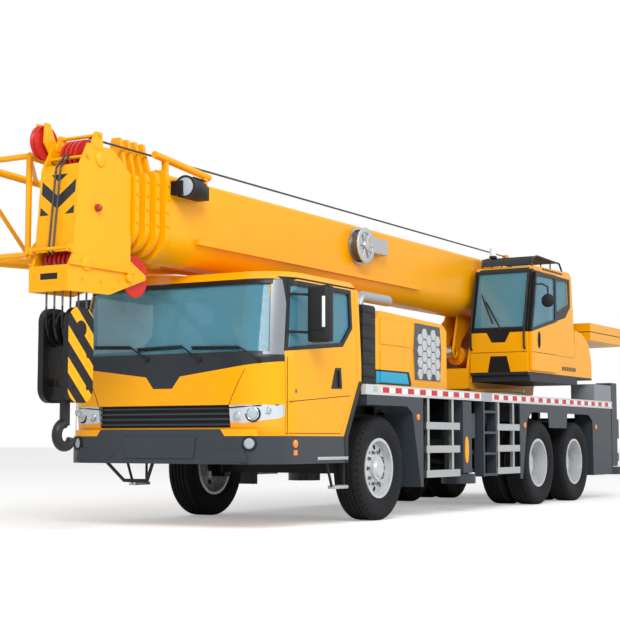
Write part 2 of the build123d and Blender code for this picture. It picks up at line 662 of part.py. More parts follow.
# Operator's cab
OP_SIDE = [
    (-4110, OP_FLOOR), (-4100, 2290), (-4300, 3070), (-4390, 3135), (-5690, 3165), (-5780, 3100),
    (-5920, OP_FLOOR),
]
OP_DOOR = [(-4160, OP_FLOOR + 60), (-4160, 2270), (-4350, 3050), (-5080, 3065), (-5080, OP_FLOOR + 60)]
OP_DOOR_WINDOW = [(-4210, 2290), (-4380, 3000), (-5020, 3010), (-5020, 2460)]
OP_REAR_WINDOW = [(-5160, 2560), (-5160, 3010), (-5640, 3030), (-5660, 2720)]
OP_SCREEN = [(OP_IN + 60, 2310), (OP_OUT - 60, 2310), (OP_OUT - 60, 3040), (OP_IN + 60, 3040)]
with BuildPart() as operator_cab:
    side_plate(OP_SIDE, OP_IN, OP_OUT)
    side_plate(OP_SIDE, OP_IN + OP_WALL, OP_OUT - OP_WALL, Mode.SUBTRACT, -OP_WALL)
    side_plate(OP_DOOR, OP_OUT - OP_WALL - 10, OP_OUT + 10, Mode.SUBTRACT, -40)
    side_plate(OP_REAR_WINDOW, OP_OUT - OP_WALL - 10, OP_OUT + 10, Mode.SUBTRACT)
    front_plate(OP_SCREEN, -4450, -4000, Mode.SUBTRACT)
    guard = [(-5900, 1690), (-5880, 2370), (-6150, 2350), (-6350, 2265), (-6470, 2180), (-6566, 1950), (-6566, 1690)]
    side_plate(guard, OP_IN, OP_OUT)
    block(at(-5350), at(-4950), 620, 940, OP_FLOOR + OP_WALL, 2050)
    block(at(-5400), at(-4850), 540, 1020, 2050, 2180)
    block(at(-5480), at(-5350), 560, 1000, 2100, 2800)
finish(operator_cab, "operator_cab")

with BuildPart() as operator_glass:
    side_plate(OP_SIDE, OP_IN, OP_OUT, grow=-10)
    side_plate(OP_SIDE, OP_IN - 10, OP_OUT + 10, Mode.SUBTRACT, -22)
    front_plate(OP_SCREEN, -4450, -4000, Mode.INTERSECT, -SEAT)
    side_plate(OP_REAR_WINDOW, OP_OUT - 30, OP_OUT - 18, grow=-SEAT)
finish(operator_glass, "operator_glass")

with BuildPart() as operator_door:
    side_plate(OP_DOOR, OP_OUT + CLEAR, OP_OUT + CLEAR + OP_DOOR_T)
    side_plate(OP_DOOR_WINDOW, OP_OUT, OP_OUT + 100, Mode.SUBTRACT)
    block(at(-5050), at(-4400), OP_OUT + SEAT, OP_OUT + CLEAR, OP_FLOOR + 70, OP_FLOOR + 90)
finish(operator_door, "operator_door")

with BuildPart() as operator_door_glass:
    side_plate(OP_DOOR_WINDOW, OP_OUT + CLEAR + 10, OP_OUT + CLEAR + 22, grow=-SEAT)
finish(operator_door_glass, "operator_door_glass")


# Boom sections
def boom_profile(ahead, shrink, grow=0.0):
    """Boom tube outline, drawn in from the base section's outer face."""
    with BuildSketch(Plane.YZ.offset(at(ahead))) as outline:
        with Locations((0, BOOM_MID)):
            Rectangle(BOOM_W - 2 * shrink + 2 * grow, BOOM_H - 2 * shrink + 2 * grow)
        fillet(outline.vertices().group_by(Axis.Y)[0], BOOM_ROUND - shrink + grow)
        fillet(outline.vertices().group_by(Axis.Y)[-1], max(BOOM_TOP_ROUND - shrink / 4, 10) + grow)
    return outline.sketch


def boom_tube(rear, front, shrink):
    """Hollow boom section between two stations."""
    extrude(boom_profile(rear, shrink), amount=front - rear, dir=(1, 0, 0))
    extrude(boom_profile(rear, shrink + BOOM_WALL), amount=front - rear, dir=(1, 0, 0), mode=Mode.SUBTRACT)


def boom_collar(ahead, shrink):
    """Collar that carries the next section, with a rope guide on top."""
    extrude(boom_profile(ahead, shrink, COLLAR_RIM), amount=COLLAR_T, dir=(1, 0, 0))
    top = BOOM_MID + BOOM_H / 2 - shrink + COLLAR_RIM
    front_plate([(-110, top - 5), (110, top - 5), (60, 3540), (-60, 3540)], ahead + 10, ahead + 35)
    extrude(
        boom_profile(ahead - 1, shrink + BOOM_STEP, PAD_GAP), amount=COLLAR_T + 2, dir=(1, 0, 0), mode=Mode.SUBTRACT
    )


BOOM_REAR = FOOT_BACK + 150
RAM_PLATE = [
    (-4330, BOOM_BOTTOM + 6), (-4900, BOOM_BOTTOM + 6), (-4430, 2170), (-4340, 1950), (-4230, 1930),
    (-4170, 2010),
]
with BuildPart() as boom_base:
    boom_tube(-BOOM_REAR, COLLAR_X + COLLAR_T, 0)
    boom_collar(COLLAR_X, 0)
    side_plate([(-BOOM_REAR - 10, 3060), (-6200, 3310), (-BOOM_REAR - 10, 3310)], -BOOM_W, BOOM_W, Mode.SUBTRACT)
    cross_pin(-FOOT_BACK, FOOT_Z, FOOT_BOSS_R, -CHEEK_IN + SEAT, CHEEK_IN - SEAT)
    cross_pin(-FOOT_BACK, FOOT_Z, FOOT_PIN_R + RUN, -CHEEK_IN, CHEEK_IN, mode=Mode.SUBTRACT)
    for side in (-1, 1):
        inner, outer = sorted((side * (RAM_EYE_HALF + 5), side * (RAM_EYE_HALF + 35)))
        side_plate(RAM_PLATE, inner, outer)
        cross_pin(-RAM_HEAD_BACK, RAM_HEAD_Z, RAM_PIN_R, inner, outer, mode=Mode.SUBTRACT)
    block(at(-2650), at(2150), BOOM_W / 2, BOOM_W / 2 + 45, 2690, 2740)
    block(at(-1635), at(-1093), BOOM_W / 2, BOOM_W / 2 + 120, 3000, 3180)
    cross_pin(-1080, 3060, 185, BOOM_W / 2, BOOM_W / 2 + 110)
    block(at(2111), at(2560), BOOM_W / 2, BOOM_W / 2 + 130, 3110, 3240)
finish(boom_base, "boom_base")

for k in range(2, SECTIONS):
    shrink = BOOM_STEP * (k - 1)
    ahead = COLLAR_X + COLLAR_PITCH * (k - 1)
    with BuildPart() as section:
        boom_tube(-BOOM_REAR + 600 + TAIL_PITCH * (k - 1), ahead + COLLAR_T, shrink)
        boom_collar(ahead, shrink)
    finish(section, f"boom_{k}")

# Last boom section with the head
HEAD_SIDE = [
    (3030, 3230), (3300, 3420), (3640, 3420), (3760, 3200), (3830, 2420), (3880, 2325), (3880, 2100),
    (3330, 2110), (2800, 2290), (2800, 2330), (3030, 2440),
]
with BuildPart() as boom_5:
    shrink = BOOM_STEP * (SECTIONS - 1)
    boom_tube(-BOOM_REAR + 600 + TAIL_PITCH * (SECTIONS - 1), 3300, shrink)
    for side in (-1, 1):
        inner, outer = sorted((side * HEAD_HALF, side * (HEAD_HALF + HEAD_PLATE)))
        side_plate(HEAD_SIDE, inner, outer)
    block(at(3875), at(3900), -HEAD_HALF - HEAD_PLATE, HEAD_HALF + HEAD_PLATE, 2100, 2325)
    side_plate([(3735, 3230), (3760, 3200), (3830, 2450), (3805, 2450)], -HEAD_HALF - 5, HEAD_HALF + 5)
    for ahead, z in ((HOOK_AHEAD, LOWER_SHEAVE_Z), (3480, UPPER_SHEAVE_Z)):
        cross_pin(ahead, z, 40, -HEAD_HALF - 5, HEAD_HALF + 5)
    for side in (-1, 1):
        cross_pin(3070, 2290, 40, *sorted((side * HEAD_HALF, side * (HEAD_HALF + HEAD_PLATE + 30))))
finish(boom_5, "boom_5")

with BuildPart() as head_sheaves:
    for ahead, z, radius, count in ((HOOK_AHEAD, LOWER_SHEAVE_Z, SHEAVE_R, 6), (3480, UPPER_SHEAVE_Z, 190, 4)):
        for k in range(count):
            y = (k - (count - 1) / 2) * 50
            cross_pin(ahead, z, radius, y - SHEAVE_T / 2, y + SHEAVE_T / 2)
        cross_pin(ahead, z, 60, -HEAD_HALF + SEAT, HEAD_HALF - SEAT)
        cross_pin(ahead, z, 40 + SEAT, -HEAD_HALF, HEAD_HALF, mode=Mode.SUBTRACT)
finish(head_sheaves, "head_sheaves")

# Fly jib stowed along the right of the boom
def jib_corner(share, low, inner):
    """Chord centre at a share of the jib's length."""
    y = -(JIB_IN + JIB_TIP_TAPER_Y * share) if inner else -(JIB_OUT - JIB_TIP_TAPER_Y * share)
    z = JIB_LOW + JIB_TIP_TAPER_Z * share if low else JIB_HIGH - JIB_TIP_TAPER_Z * share
    return (at(JIB_ROOT - JIB_LENGTH * share), y, z)


JIB_CHORDS = [(True, True), (True, False), (False, False), (False, True)]
with BuildPart() as fly_jib:
    for low, inner in JIB_CHORDS:
        strut(jib_corner(0, low, inner), jib_corner(1, low, inner), JIB_CHORD_R, 8)
    for k in range(4):
        a, b = JIB_CHORDS[k], JIB_CHORDS[(k + 1) % 4]
        for share in (0, 1):
            strut(jib_corner(share, *a), jib_corner(share, *b), JIB_LACE_R + 6, 6)
        for bay in range(JIB_BAYS):
            first, last = (a, b) if bay % 2 else (b, a)
            strut(jib_corner(bay / JIB_BAYS, *first), jib_corner((bay + 1) / JIB_BAYS, *last), JIB_LACE_R, 6)
    for share in (2 / JIB_BAYS, 7 / JIB_BAYS):
        x, y, z = jib_corner(share, True, True)
        block(x - 40, x + 40, y, -BOOM_W / 2 - SEAT, z - 20, z + 20)
        block(x - 40, x + 40, -BOOM_W / 2 - 30, -BOOM_W / 2 - SEAT, z - 20, 2950)
finish(fly_jib, "fly_jib")

# Luffing cylinder
RAM_BASE = (at(-RAM_BASE_BACK), 0, RAM_BASE_Z)
RAM_HEAD = (at(-RAM_HEAD_BACK), 0, RAM_HEAD_Z)
RAM_LINE = Vector(*RAM_HEAD) - Vector(*RAM_BASE)
RAM_LENGTH = RAM_LINE.length
RAM_DIR = RAM_LINE.normalized()


def along_ram(distance):
    """Point on the cylinder's axis."""
    point = Vector(*RAM_BASE) + RAM_DIR * distance
    return (point.X, point.Y, point.Z)


GLAND = RAM_LENGTH - 220
with BuildPart() as luff_barrel:
    strut(along_ram(250), along_ram(GLAND), RAM_R)
    strut(along_ram(60), along_ram(260), 90)
    cross_pin(-RAM_BASE_BACK, RAM_BASE_Z, 120, -RAM_EYE_HALF - 30, RAM_EYE_HALF + 30)
    strut(along_ram(300), along_ram(GLAND - 80), RAM_BORE_R, mode=Mode.SUBTRACT)
    strut(along_ram(GLAND - 90), along_ram(GLAND + 1), ROD_R + RUN, mode=Mode.SUBTRACT)
    cross_pin(-RAM_BASE_BACK, RAM_BASE_Z, RAM_PIN_R + RUN, -RAM_EYE_HALF - 31, RAM_EYE_HALF + 31, mode=Mode.SUBTRACT)
finish(luff_barrel, "luff_barrel")

with BuildPart() as luff_rod:
    strut(along_ram(320), along_ram(RAM_LENGTH - 40), ROD_R)
    cross_pin(-RAM_HEAD_BACK, RAM_HEAD_Z, 90, -RAM_EYE_HALF, RAM_EYE_HALF)
finish(luff_rod, "luff_rod")

# Hook block with its rope falls, and the swivelling hook
FALL_X = SHEAVE_R + ROPE_R + PAD_GAP
with BuildPart() as hook_block:
    for side in (-1, 1):
        inner, outer = sorted((side * BLOCK_IN, side * BLOCK_OUT))
        with BuildSketch(Plane.XZ.offset(-outer)) as cheek:
            with Locations((at(HOOK_AHEAD), (BLOCK_TOP + BLOCK_LOW) / 2)):
                Rectangle(2 * BLOCK_HALF, BLOCK_TOP - BLOCK_LOW)
            fillet(cheek.vertices(), BLOCK_HALF - 40)
        extrude(cheek.sketch, amount=outer - inner, dir=(0, -1, 0))
    for k in (-1, 0, 1):
        cross_pin(HOOK_AHEAD, BLOCK_SHEAVE_Z, SHEAVE_R, k * FALL_PITCH - 13, k * FALL_PITCH + 13)
    cross_pin(HOOK_AHEAD, BLOCK_SHEAVE_Z, 50, -BLOCK_IN, BLOCK_IN)
    block(at(HOOK_AHEAD) - 90, at(HOOK_AHEAD) + 90, -BLOCK_IN, BLOCK_IN, 1180, 1290)
    post(at(HOOK_AHEAD), 0, SHANK_R + RUN, 1100, 1300, mode=Mode.SUBTRACT)
    for k in (-1, 0, 1):
        for end in (-1, 1):
            post(at(HOOK_AHEAD) + end * FALL_X, k * FALL_PITCH, ROPE_R, BLOCK_SHEAVE_Z, LOWER_SHEAVE_Z)
finish(hook_block, "hook_block")

with BuildPart() as hook:
    post(at(HOOK_AHEAD), 0, SHANK_R, HOOK_Z + HOOK_R - 20, 1340)
    post(at(HOOK_AHEAD), 0, 75, 1290 + SEAT, 1360)
    with BuildSketch(Plane(origin=(at(HOOK_AHEAD), 0, HOOK_Z + HOOK_R), x_dir=(0, 0, 1), z_dir=(1, 0, 0))) as bar:
        Circle(HOOK_BAR)
    revolve(bar.sketch, axis=Axis((at(HOOK_AHEAD), 0, HOOK_Z), (0, 1, 0)), revolution_arc=250)
finish(hook, "hook")

# Steering knuckles
for side, name in ((1, "left"), (-1, "right")):
    low, high = AXLE_Z - AXLE_BEAM_H / 2, AXLE_Z + AXLE_BEAM_H / 2
    with BuildPart() as knuckle:
        y0, y1 = sorted((side * (KINGPIN_Y + AXLE_EYE_R + CLEAR), side * (KINGPIN_Y + AXLE_EYE_R + 55)))
        block(at(0) - 60, at(0) + 60, y0, y1, low - 50, high + 50)
        y0, y1 = sorted((side * (KINGPIN_Y - 50), side * (KINGPIN_Y + AXLE_EYE_R + 55)))
        block(at(0) - 50, at(0) + 50, y0, y1, high + SEAT, high + 50)
        block(at(0) - 50, at(0) + 50, y0, y1, low - 50, low - SEAT)
        post(at(0), side * KINGPIN_Y, KINGPIN_R, low - 10, high + 10)
        y0, y1 = sorted((side * (KINGPIN_Y + AXLE_EYE_R + 50), side * (FRONT_WHEEL_Y + 60)))
        cross_pin(0, AXLE_Z, SPINDLE_R, y0, y1)
    finish(knuckle, f"knuckle_{name}")

# Wheels
TYRE_PROFILE = [
    (-RIM_W / 2, RIM_R + SEAT), (-RIM_W / 2, FLANGE_R + 4), (-TYRE_W / 2, RIM_R + 120), (-TYRE_W / 2 + 15, TYRE_R - 25),
    (-TYRE_W / 2 + 45, TYRE_R), (TYRE_W / 2 - 45, TYRE_R), (TYRE_W / 2 - 15, TYRE_R - 25),
    (TYRE_W / 2, RIM_R + 120), (RIM_W / 2, FLANGE_R + 4), (RIM_W / 2, RIM_R + SEAT),
]
BARREL_PROFILE = [
    (-RIM_W / 2 - FLANGE_T, RIM_R - RIM_WALL), (RIM_W / 2 + FLANGE_T, RIM_R - RIM_WALL),
    (RIM_W / 2 + FLANGE_T, FLANGE_R), (RIM_W / 2 + SEAT, FLANGE_R), (RIM_W / 2 + SEAT, RIM_R),
    (-RIM_W / 2 - SEAT, RIM_R), (-RIM_W / 2 - SEAT, FLANGE_R), (-RIM_W / 2 - FLANGE_T, FLANGE_R),
]


def rim_disc(x, y, side, hub_at, edge_at):
    """Dished disc from hub to barrel."""
    outline = [
        (hub_at, HUB_R - 10), (edge_at, RIM_R - RIM_WALL + 2), (edge_at + DISC_T, RIM_R - RIM_WALL + 2),
        (hub_at + DISC_T, HUB_R - 10),
    ]
    turned(x, y, side, outline)


for side, end in ((1, "l"), (-1, "r")):
    with BuildPart() as tyre:
        turned(at(0), side * FRONT_WHEEL_Y, side, TYRE_PROFILE)
    finish(tyre, f"tyre_1{end}")
    with BuildPart() as rim:
        y = side * FRONT_WHEEL_Y
        turned(at(0), y, side, BARREL_PROFILE)
        rim_disc(at(0), y, side, 60, 20)
        turned(at(0), y, side, [(-60, SPINDLE_R + RUN), (110, SPINDLE_R + RUN), (110, HUB_R), (-60, HUB_R)])
        turned(at(0), y, side, [(70, 0), (130, 0), (130, 80), (70, HUB_R)])
    finish(rim, f"rim_1{end}")
    for number, axle_x in zip((2, 3), REAR_AXLE_X):
        with BuildPart() as tyre:
            for y in (TWIN_OUTER_Y, TWIN_INNER_Y):
                turned(axle_x, side * y, side, TYRE_PROFILE)
        finish(tyre, f"tyre_{number}{end}")
        with BuildPart() as rim:
            outer, inner = side * TWIN_OUTER_Y, side * TWIN_INNER_Y
            turned(axle_x, outer, side, BARREL_PROFILE)
            turned(axle_x, inner, side, BARREL_PROFILE)
            middle = (TWIN_OUTER_Y + TWIN_INNER_Y) / 2
            rim_disc(axle_x, outer, side, middle - TWIN_OUTER_Y, -90)
            rim_disc(axle_x, inner, side, middle - TWIN_INNER_Y - DISC_T, 60)
            hub = [(-60, SPINDLE_R + RUN), (110, SPINDLE_R + RUN), (110, HUB_R), (-60, HUB_R)]
            turned(axle_x, side * middle, side, hub)
            cap = [(112, 0), (180, 0), (180, 90), (100, HUB_R), (100, SPINDLE_R + 20), (112, SPINDLE_R + 20)]
            turned(axle_x, side * middle, side, cap)
        finish(rim, f"rim_{number}{end}")
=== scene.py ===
"""Dresses a packed truck crane with its paint, glass, rubber and small fittings."""

import json
from math import atan2, cos, hypot, pi, sin, tau

import bmesh
import bpy
from mathutils import Matrix, Vector


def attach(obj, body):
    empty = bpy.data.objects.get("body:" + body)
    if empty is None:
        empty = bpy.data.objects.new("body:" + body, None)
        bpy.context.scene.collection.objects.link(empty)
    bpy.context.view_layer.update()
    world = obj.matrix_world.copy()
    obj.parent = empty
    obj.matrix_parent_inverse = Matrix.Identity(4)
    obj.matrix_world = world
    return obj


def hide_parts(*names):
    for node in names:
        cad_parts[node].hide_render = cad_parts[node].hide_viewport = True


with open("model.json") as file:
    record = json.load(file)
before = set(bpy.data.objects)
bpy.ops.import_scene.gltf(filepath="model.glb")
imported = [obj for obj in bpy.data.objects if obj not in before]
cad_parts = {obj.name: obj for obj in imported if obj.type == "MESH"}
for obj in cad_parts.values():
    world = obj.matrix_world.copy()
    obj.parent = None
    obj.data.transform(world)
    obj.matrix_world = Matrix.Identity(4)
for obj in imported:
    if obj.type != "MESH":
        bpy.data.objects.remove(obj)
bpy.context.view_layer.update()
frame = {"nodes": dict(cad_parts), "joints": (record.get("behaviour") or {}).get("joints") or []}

bl_info = {
    "name": "Truck Crane Dresser",
    "version": (1, 0, 0),
    "blender": (4, 5, 0),
    "location": "3D View > Sidebar > Crane",
    "description": "Paints a packed truck crane and adds its small fittings",
    "category": "Object",
}

NODES = frame["nodes"]
JOINTS = {joint["name"]: joint for joint in frame["joints"]}
AXLE = Vector(JOINTS["steer_left"]["pos_m"])
BOTH = (1, -1)

# Colours, as sRGB hex values
YELLOW = "F8AA00"
SLATE = "363D44"
BLACK = "141517"
DARK = "262B30"
SILVER = "C9CCCF"
RED = "C8281E"
AMBER = "F08A12"
LINING = "26282B"
PLASTIC = "202225"
WIRE = "6E7072"

# Shares of the shaders
SHINE = 0.25
COAT_ROUGH = 0.08
ENAMEL_SWING = 0.08
METAL_SWING = 0.1


def at(ahead):
    """X of a place measured forward of the front axle, in metres."""
    return AXLE.x + ahead


def per_metre(size_mm):
    """Texture scale whose features are about this many millimetres wide."""
    return 1000 / size_mm


def linear(code):
    """Linear colour with alpha from an sRGB hex value, or from a linear colour."""
    if not isinstance(code, str):
        return tuple(code[:3]) + (1.0,)
    channels = [int(code[k:k + 2], 16) / 255 for k in (0, 2, 4)]
    return tuple(c / 12.92 if c <= 0.04045 else ((c + 0.055) / 1.055) ** 2.4 for c in channels) + (1.0,)


def shade(code, share):
    """Colour drawn towards black by a share."""
    red, green, blue, alpha = linear(code)
    return (red * share, green * share, blue * share, alpha)


class CranePaint(bpy.types.PropertyGroup):
    """Main colours and small sizes"""

    yellow: bpy.props.FloatVectorProperty(
        name="Body Colour", description="Paint on the cabs, hood and boom", default=linear(YELLOW)[:3],
        subtype="COLOR", min=0.0, max=1.0,
    )
    slate: bpy.props.FloatVectorProperty(
        name="Frame Colour", description="Paint on the bumper, frame and fenders", default=linear(SLATE)[:3],
        subtype="COLOR", min=0.0, max=1.0,
    )
    rope: bpy.props.FloatProperty(
        name="Rope Radius", description="Radius of the hoisting rope", default=0.009, unit="LENGTH",
    )


class CraneStage(bpy.types.PropertyGroup):
    """Camera and light"""

    lens: bpy.props.FloatProperty(
        name="Lens", description="Focal length", default=82.51, subtype="DISTANCE_CAMERA",
    )
    key: bpy.props.FloatProperty(
        name="Key Light", description="Power of the front light", default=2300.0, unit="POWER",
    )
    sky: bpy.props.FloatProperty(
        name="Sky", description="Strength of the soft sky", default=0.55, subtype="FACTOR",
    )


# Shader tools
def add(tree, kind, links=None, **settings):
    """Adds a node; links gives its sockets a value or another node's output."""
    new = tree.nodes.new(kind)
    for name, value in settings.items():
        setattr(new, name, value)
    for socket, value in (links or {}).items():
        if isinstance(value, bpy.types.NodeSocket):
            tree.links.new(value, new.inputs[socket])
        else:
            new.inputs[socket].default_value = value
    return new


def reckon(tree, operation, first, second=0.0):
    """Result of arithmetic on two numbers."""
    return add(tree, "ShaderNodeMath", {0: first, 1: second}, operation=operation).outputs[0]


def reckon_vector(tree, operation, first, second=(0.0, 0.0, 0.0)):
    """Result of arithmetic on two vectors, which is a number for a dot product or a length."""
    outputs = add(tree, "ShaderNodeVectorMath", {0: first, 1: second}, operation=operation).outputs
    return outputs["Value" if operation in ("DOT_PRODUCT", "LENGTH") else "Vector"]


def blend(tree, factor, low, high):
    """Colour between two colours."""
    return add(tree, "ShaderNodeMix", {"Factor": factor, 6: low, 7: high}, data_type="RGBA").outputs[2]


def between(tree, factor, low, high):
    """Number between two numbers."""
    return add(tree, "ShaderNodeMix", {"Factor": factor, 2: low, 3: high}).outputs[0]


def noise(tree, where, size_mm, detail):
    """Noise from 0 to 1 whose features are about this many millimetres wide."""
    links = {"Vector": where, "Scale": per_metre(size_mm), "Detail": detail}
    return add(tree, "ShaderNodeTexNoise", links).outputs["Fac"]


def spread(tree, value, low, high):
    """Numbers from 0 to 1 laid over a range."""
    return add(tree, "ShaderNodeMapRange", {"Value": value, "To Min": low, "To Max": high}).outputs[0]


def bump(tree, shader, height, strength, depth, **normal):
    """Gives a shader a bumped surface."""
    links = {"Height": height, "Strength": strength, "Distance": depth, **normal}
    tree.links.new(add(tree, "ShaderNodeBump", links).outputs[0], shader.inputs["Normal"])


def soft_edge(tree, radius):
    """Normal with its edges rounded over a radius."""
    return add(tree, "ShaderNodeBevel", {"Radius": radius}, samples=4).outputs[0]


def set_shader(tree, shader, **values):
    """Sets a shader's sockets, named with _ for a space, to numbers or to other nodes' outputs."""
    for name, value in values.items():
        socket = shader.inputs[name.replace("_", " ")]
        if isinstance(value, bpy.types.NodeSocket):
            tree.links.new(value, socket)
        else:
            socket.default_value = value


def start_material(name):
    """New node material with its shader and Object coordinates."""
    material = bpy.data.materials.new(name)
    material.use_nodes = True
    tree = material.node_tree
    where = add(tree, "ShaderNodeTexCoord").outputs["Object"]
    return material, tree, tree.nodes["Principled BSDF"], where


# Painted regions, each a list of planes as (normal, distance) or a function that makes its own mask
def mask(tree, where, planes):
    """One inside every plane, and nothing outside."""
    if callable(planes):
        return planes(tree, where)
    inside = None
    for normal, distance in planes:
        test = reckon(tree, "GREATER_THAN", reckon_vector(tree, "DOT_PRODUCT", where, normal), distance)
        inside = test if inside is None else reckon(tree, "MULTIPLY", inside, test)
    return inside


def zone(**sides):
    """Planes of an upright box, of the sides named: x0, x1 (ahead of the axle), y0, y1, z0 and z1."""
    planes = []
    for side, value in sides.items():
        sign = 1.0 if side[1] == "0" else -1.0
        way = [sign if axis == side[0] else 0.0 for axis in "xyz"]
        planes.append((tuple(way), sign * (at(value) if side[0] == "x" else value)))
    return planes


def edge_planes(spots, swap):
    """Planes round a convex outline; swap turns an edge into the direction across it."""
    middle = sum(spots, Vector()) / len(spots)
    planes = []
    for first, last in zip(spots, spots[1:] + spots[:1]):
        normal = swap(last - first)
        if normal.dot(middle - first) < 0:
            normal = -normal
        planes.append((tuple(normal), normal.dot(first)))
    return planes


def side_planes(points, inner):
    """Planes round an outline of (ahead, z) points, outside a distance from the middle."""
    spots = [Vector((at(ahead), 0, z)) for ahead, z in points]
    return edge_planes(spots, lambda run: Vector((-run.z, 0, run.x))) + [((0.0, 1.0, 0.0), inner)]


def front_planes(points):
    """Planes round an outline of (y, z) points."""
    spots = [Vector((0, y, z)) for y, z in points]
    return edge_planes(spots, lambda run: Vector((0, -run.z, run.y)))


def mirror_y(tree, where):
    """Coordinates with the left half's places on both sides."""
    parts = add(tree, "ShaderNodeSeparateXYZ", {0: where}).outputs
    across = reckon(tree, "ABSOLUTE", parts["Y"])
    return add(tree, "ShaderNodeCombineXYZ", {"X": parts["X"], "Y": across, "Z": parts["Z"]}).outputs[0]


def stripes(planes, way, pitch, share, start):
    """Mask of even stripes inside some planes, counted along a direction from a start."""

    def made(tree, where):
        run = reckon_vector(tree, "DOT_PRODUCT", where, [v / pitch for v in way])
        part = reckon(tree, "FRACT", reckon(tree, "SUBTRACT", run, start / pitch))
        test = reckon(tree, "LESS_THAN", part, share)
        return reckon(tree, "MULTIPLY", test, mask(tree, where, planes))

    return made


def hand_hole_shade(ahead, low, high):
    """Mask of the round holes in a wheel's disc, which lies between two distances from the middle; the holes
    are painted near black as the shade seen through them.
    """

    def made(tree, where):
        arm = reckon_vector(tree, "SUBTRACT", where, (at(ahead), 0.0, AXLE.z))
        flat = reckon_vector(tree, "MULTIPLY", arm, (1, 0, 1))
        parts = add(tree, "ShaderNodeSeparateXYZ", {0: flat}).outputs
        turn = reckon(tree, "ARCTAN2", parts["Z"], parts["X"])
        part = reckon(tree, "FRACT", reckon(tree, "MULTIPLY", turn, HOLES / tau))
        arc = reckon(tree, "MULTIPLY", reckon(tree, "SUBTRACT", part, 0.5), HOLE_CIRCLE * tau / HOLES)
        rise = reckon(tree, "SUBTRACT", reckon_vector(tree, "LENGTH", flat), HOLE_CIRCLE)
        away = add(tree, "ShaderNodeCombineXYZ", {"X": arc, "Y": rise}).outputs[0]
        test = reckon(tree, "LESS_THAN", reckon_vector(tree, "LENGTH", away), HOLE_R)
        return reckon(tree, "MULTIPLY", test, mask(tree, where, zone(y0=low, y1=high)))

    return made


# Finishes
def enamel(
    name, code, regions=(), rough=0.32, metallic=0.0, coat=0.06, bevel_mm=6, ripple=0.04, cloud=0.9,
):
    """Sprayed enamel on sheet steel: one colour with faint clouding, soft edges and a slow ripple.

    regions are (planes, code, roughness, metallic), painted over the ground colour in turn."""
    material, tree, shader, where = start_material(name)
    both = mirror_y(tree, where)
    colour = blend(tree, noise(tree, where, 700, 4.0), shade(code, cloud), linear(code))
    fine = noise(tree, where, 90, 3.0)
    gloss = spread(tree, fine, max(rough - ENAMEL_SWING, 0.05), rough + ENAMEL_SWING)
    metal = metallic
    for planes, over, over_rough, over_metal in regions:
        inside = mask(tree, both, planes)
        colour = blend(tree, inside, colour, linear(over))
        gloss = between(tree, inside, gloss, over_rough)
        if over_metal != metal:
            metal = between(tree, inside, metal, over_metal)
    set_shader(
        tree, shader, Base_Color=colour, Roughness=gloss, Metallic=metal, Coat_Weight=coat,
        Coat_Roughness=COAT_ROUGH, Specular_IOR_Level=SHINE,
    )
    bump(tree, shader, noise(tree, where, 160, 2.0), ripple, 0.01, Normal=soft_edge(tree, bevel_mm / 1000))
    return material


def rubber(name, code):
    """Moulded rubber: near black, dull, with a fine grey bloom."""
    material, tree, shader, where = start_material(name)
    tone = blend(tree, noise(tree, where, 60, 6.0), shade(code, 0.55), linear(code))
    set_shader(tree, shader, Base_Color=tone, Roughness=0.8, Specular_IOR_Level=SHINE)
    bump(tree, shader, noise(tree, where, 12, 2.0), 0.15, 0.004)
    return material


def window_glass(name, code, alpha):
    """Tinted toughened glass: a dark see-through sheet with a sharp sky reflection; its colour can also carry
    a painted sky reflection.
    """
    material, tree, shader, where = start_material(name)
    tone = blend(tree, noise(tree, where, 900, 2.0), shade(code, 0.75), linear(code))
    set_shader(tree, shader, Base_Color=tone, Roughness=0.04, IOR=1.52, Alpha=alpha)
    return material


def bare_metal(name, code, rough, stretch=(1, 1, 1), grain_mm=40):
    """Bare or plated metal: full reflection, broken by fine drawn lines."""
    material, tree, shader, where = start_material(name)
    lines = add(tree, "ShaderNodeMapping", {"Vector": where, "Scale": stretch}).outputs[0]
    grain = noise(tree, lines, grain_mm, 5.0)
    gloss = spread(tree, grain, max(rough - METAL_SWING, 0.03), rough + METAL_SWING)
    tone = blend(tree, grain, shade(code, 0.8), linear(code))
    edge = soft_edge(tree, 0.004)
    set_shader(tree, shader, Base_Color=tone, Roughness=gloss, Metallic=1.0, Normal=edge)
    return material


def seat_cloth(name, code):
    """Woven seat cloth: dull, with a weave of crossed threads drawn 6 mm wide so that it shows."""
    material, tree, shader, where = start_material(name)
    links = {"Vector": where, "Scale": per_metre(6) / tau}
    threads = [
        add(tree, "ShaderNodeTexWave", links, bands_direction=way).outputs["Fac"] for way in ("Y", "DIAGONAL")
    ]
    weave = reckon(tree, "MULTIPLY", *threads)
    tone = blend(tree, weave, shade(code, 0.6), linear(code))
    set_shader(tree, shader, Base_Color=tone, Roughness=0.9, Sheen_Weight=0.3)
    bump(tree, shader, weave, 0.4, 0.002)
    return material


# Outlines on the paint, (ahead, z) from the side and (y, z) from the front, in metres
DOOR_PANE = [(1.985, 1.655), (0.93, 1.75), (0.715, 1.945), (0.715, 2.335), (1.86, 2.335)]
COWL_NOTCH = [(-0.01, 1.316), (0.11, 1.316), (0.2, 1.43), (-0.01, 1.43)]
LAMP = [(0.69, 0.947), (0.93, 0.987), (1.10, 0.977), (1.26, 1.079), (1.26, 1.17), (0.757, 1.15)]
MESH = [(-1.60, 1.50), (-0.95, 1.50), (-0.915, 1.84), (-0.95, 2.13), (-1.60, 2.12), (-1.64, 1.84)]
STRIP = [(-0.80, 1.435), (-0.05, 1.435), (-0.05, 1.555), (-0.75, 1.555)]
STRIP_EDGE = [(-0.87, 1.42), (-0.03, 1.42), (-0.03, 1.575), (-0.80, 1.575)]
OPERATOR_PANE = [(-4.14, 2.24), (-5.52, 2.52), (-5.72, 2.68), (-5.71, 3.07), (-4.33, 3.075)]
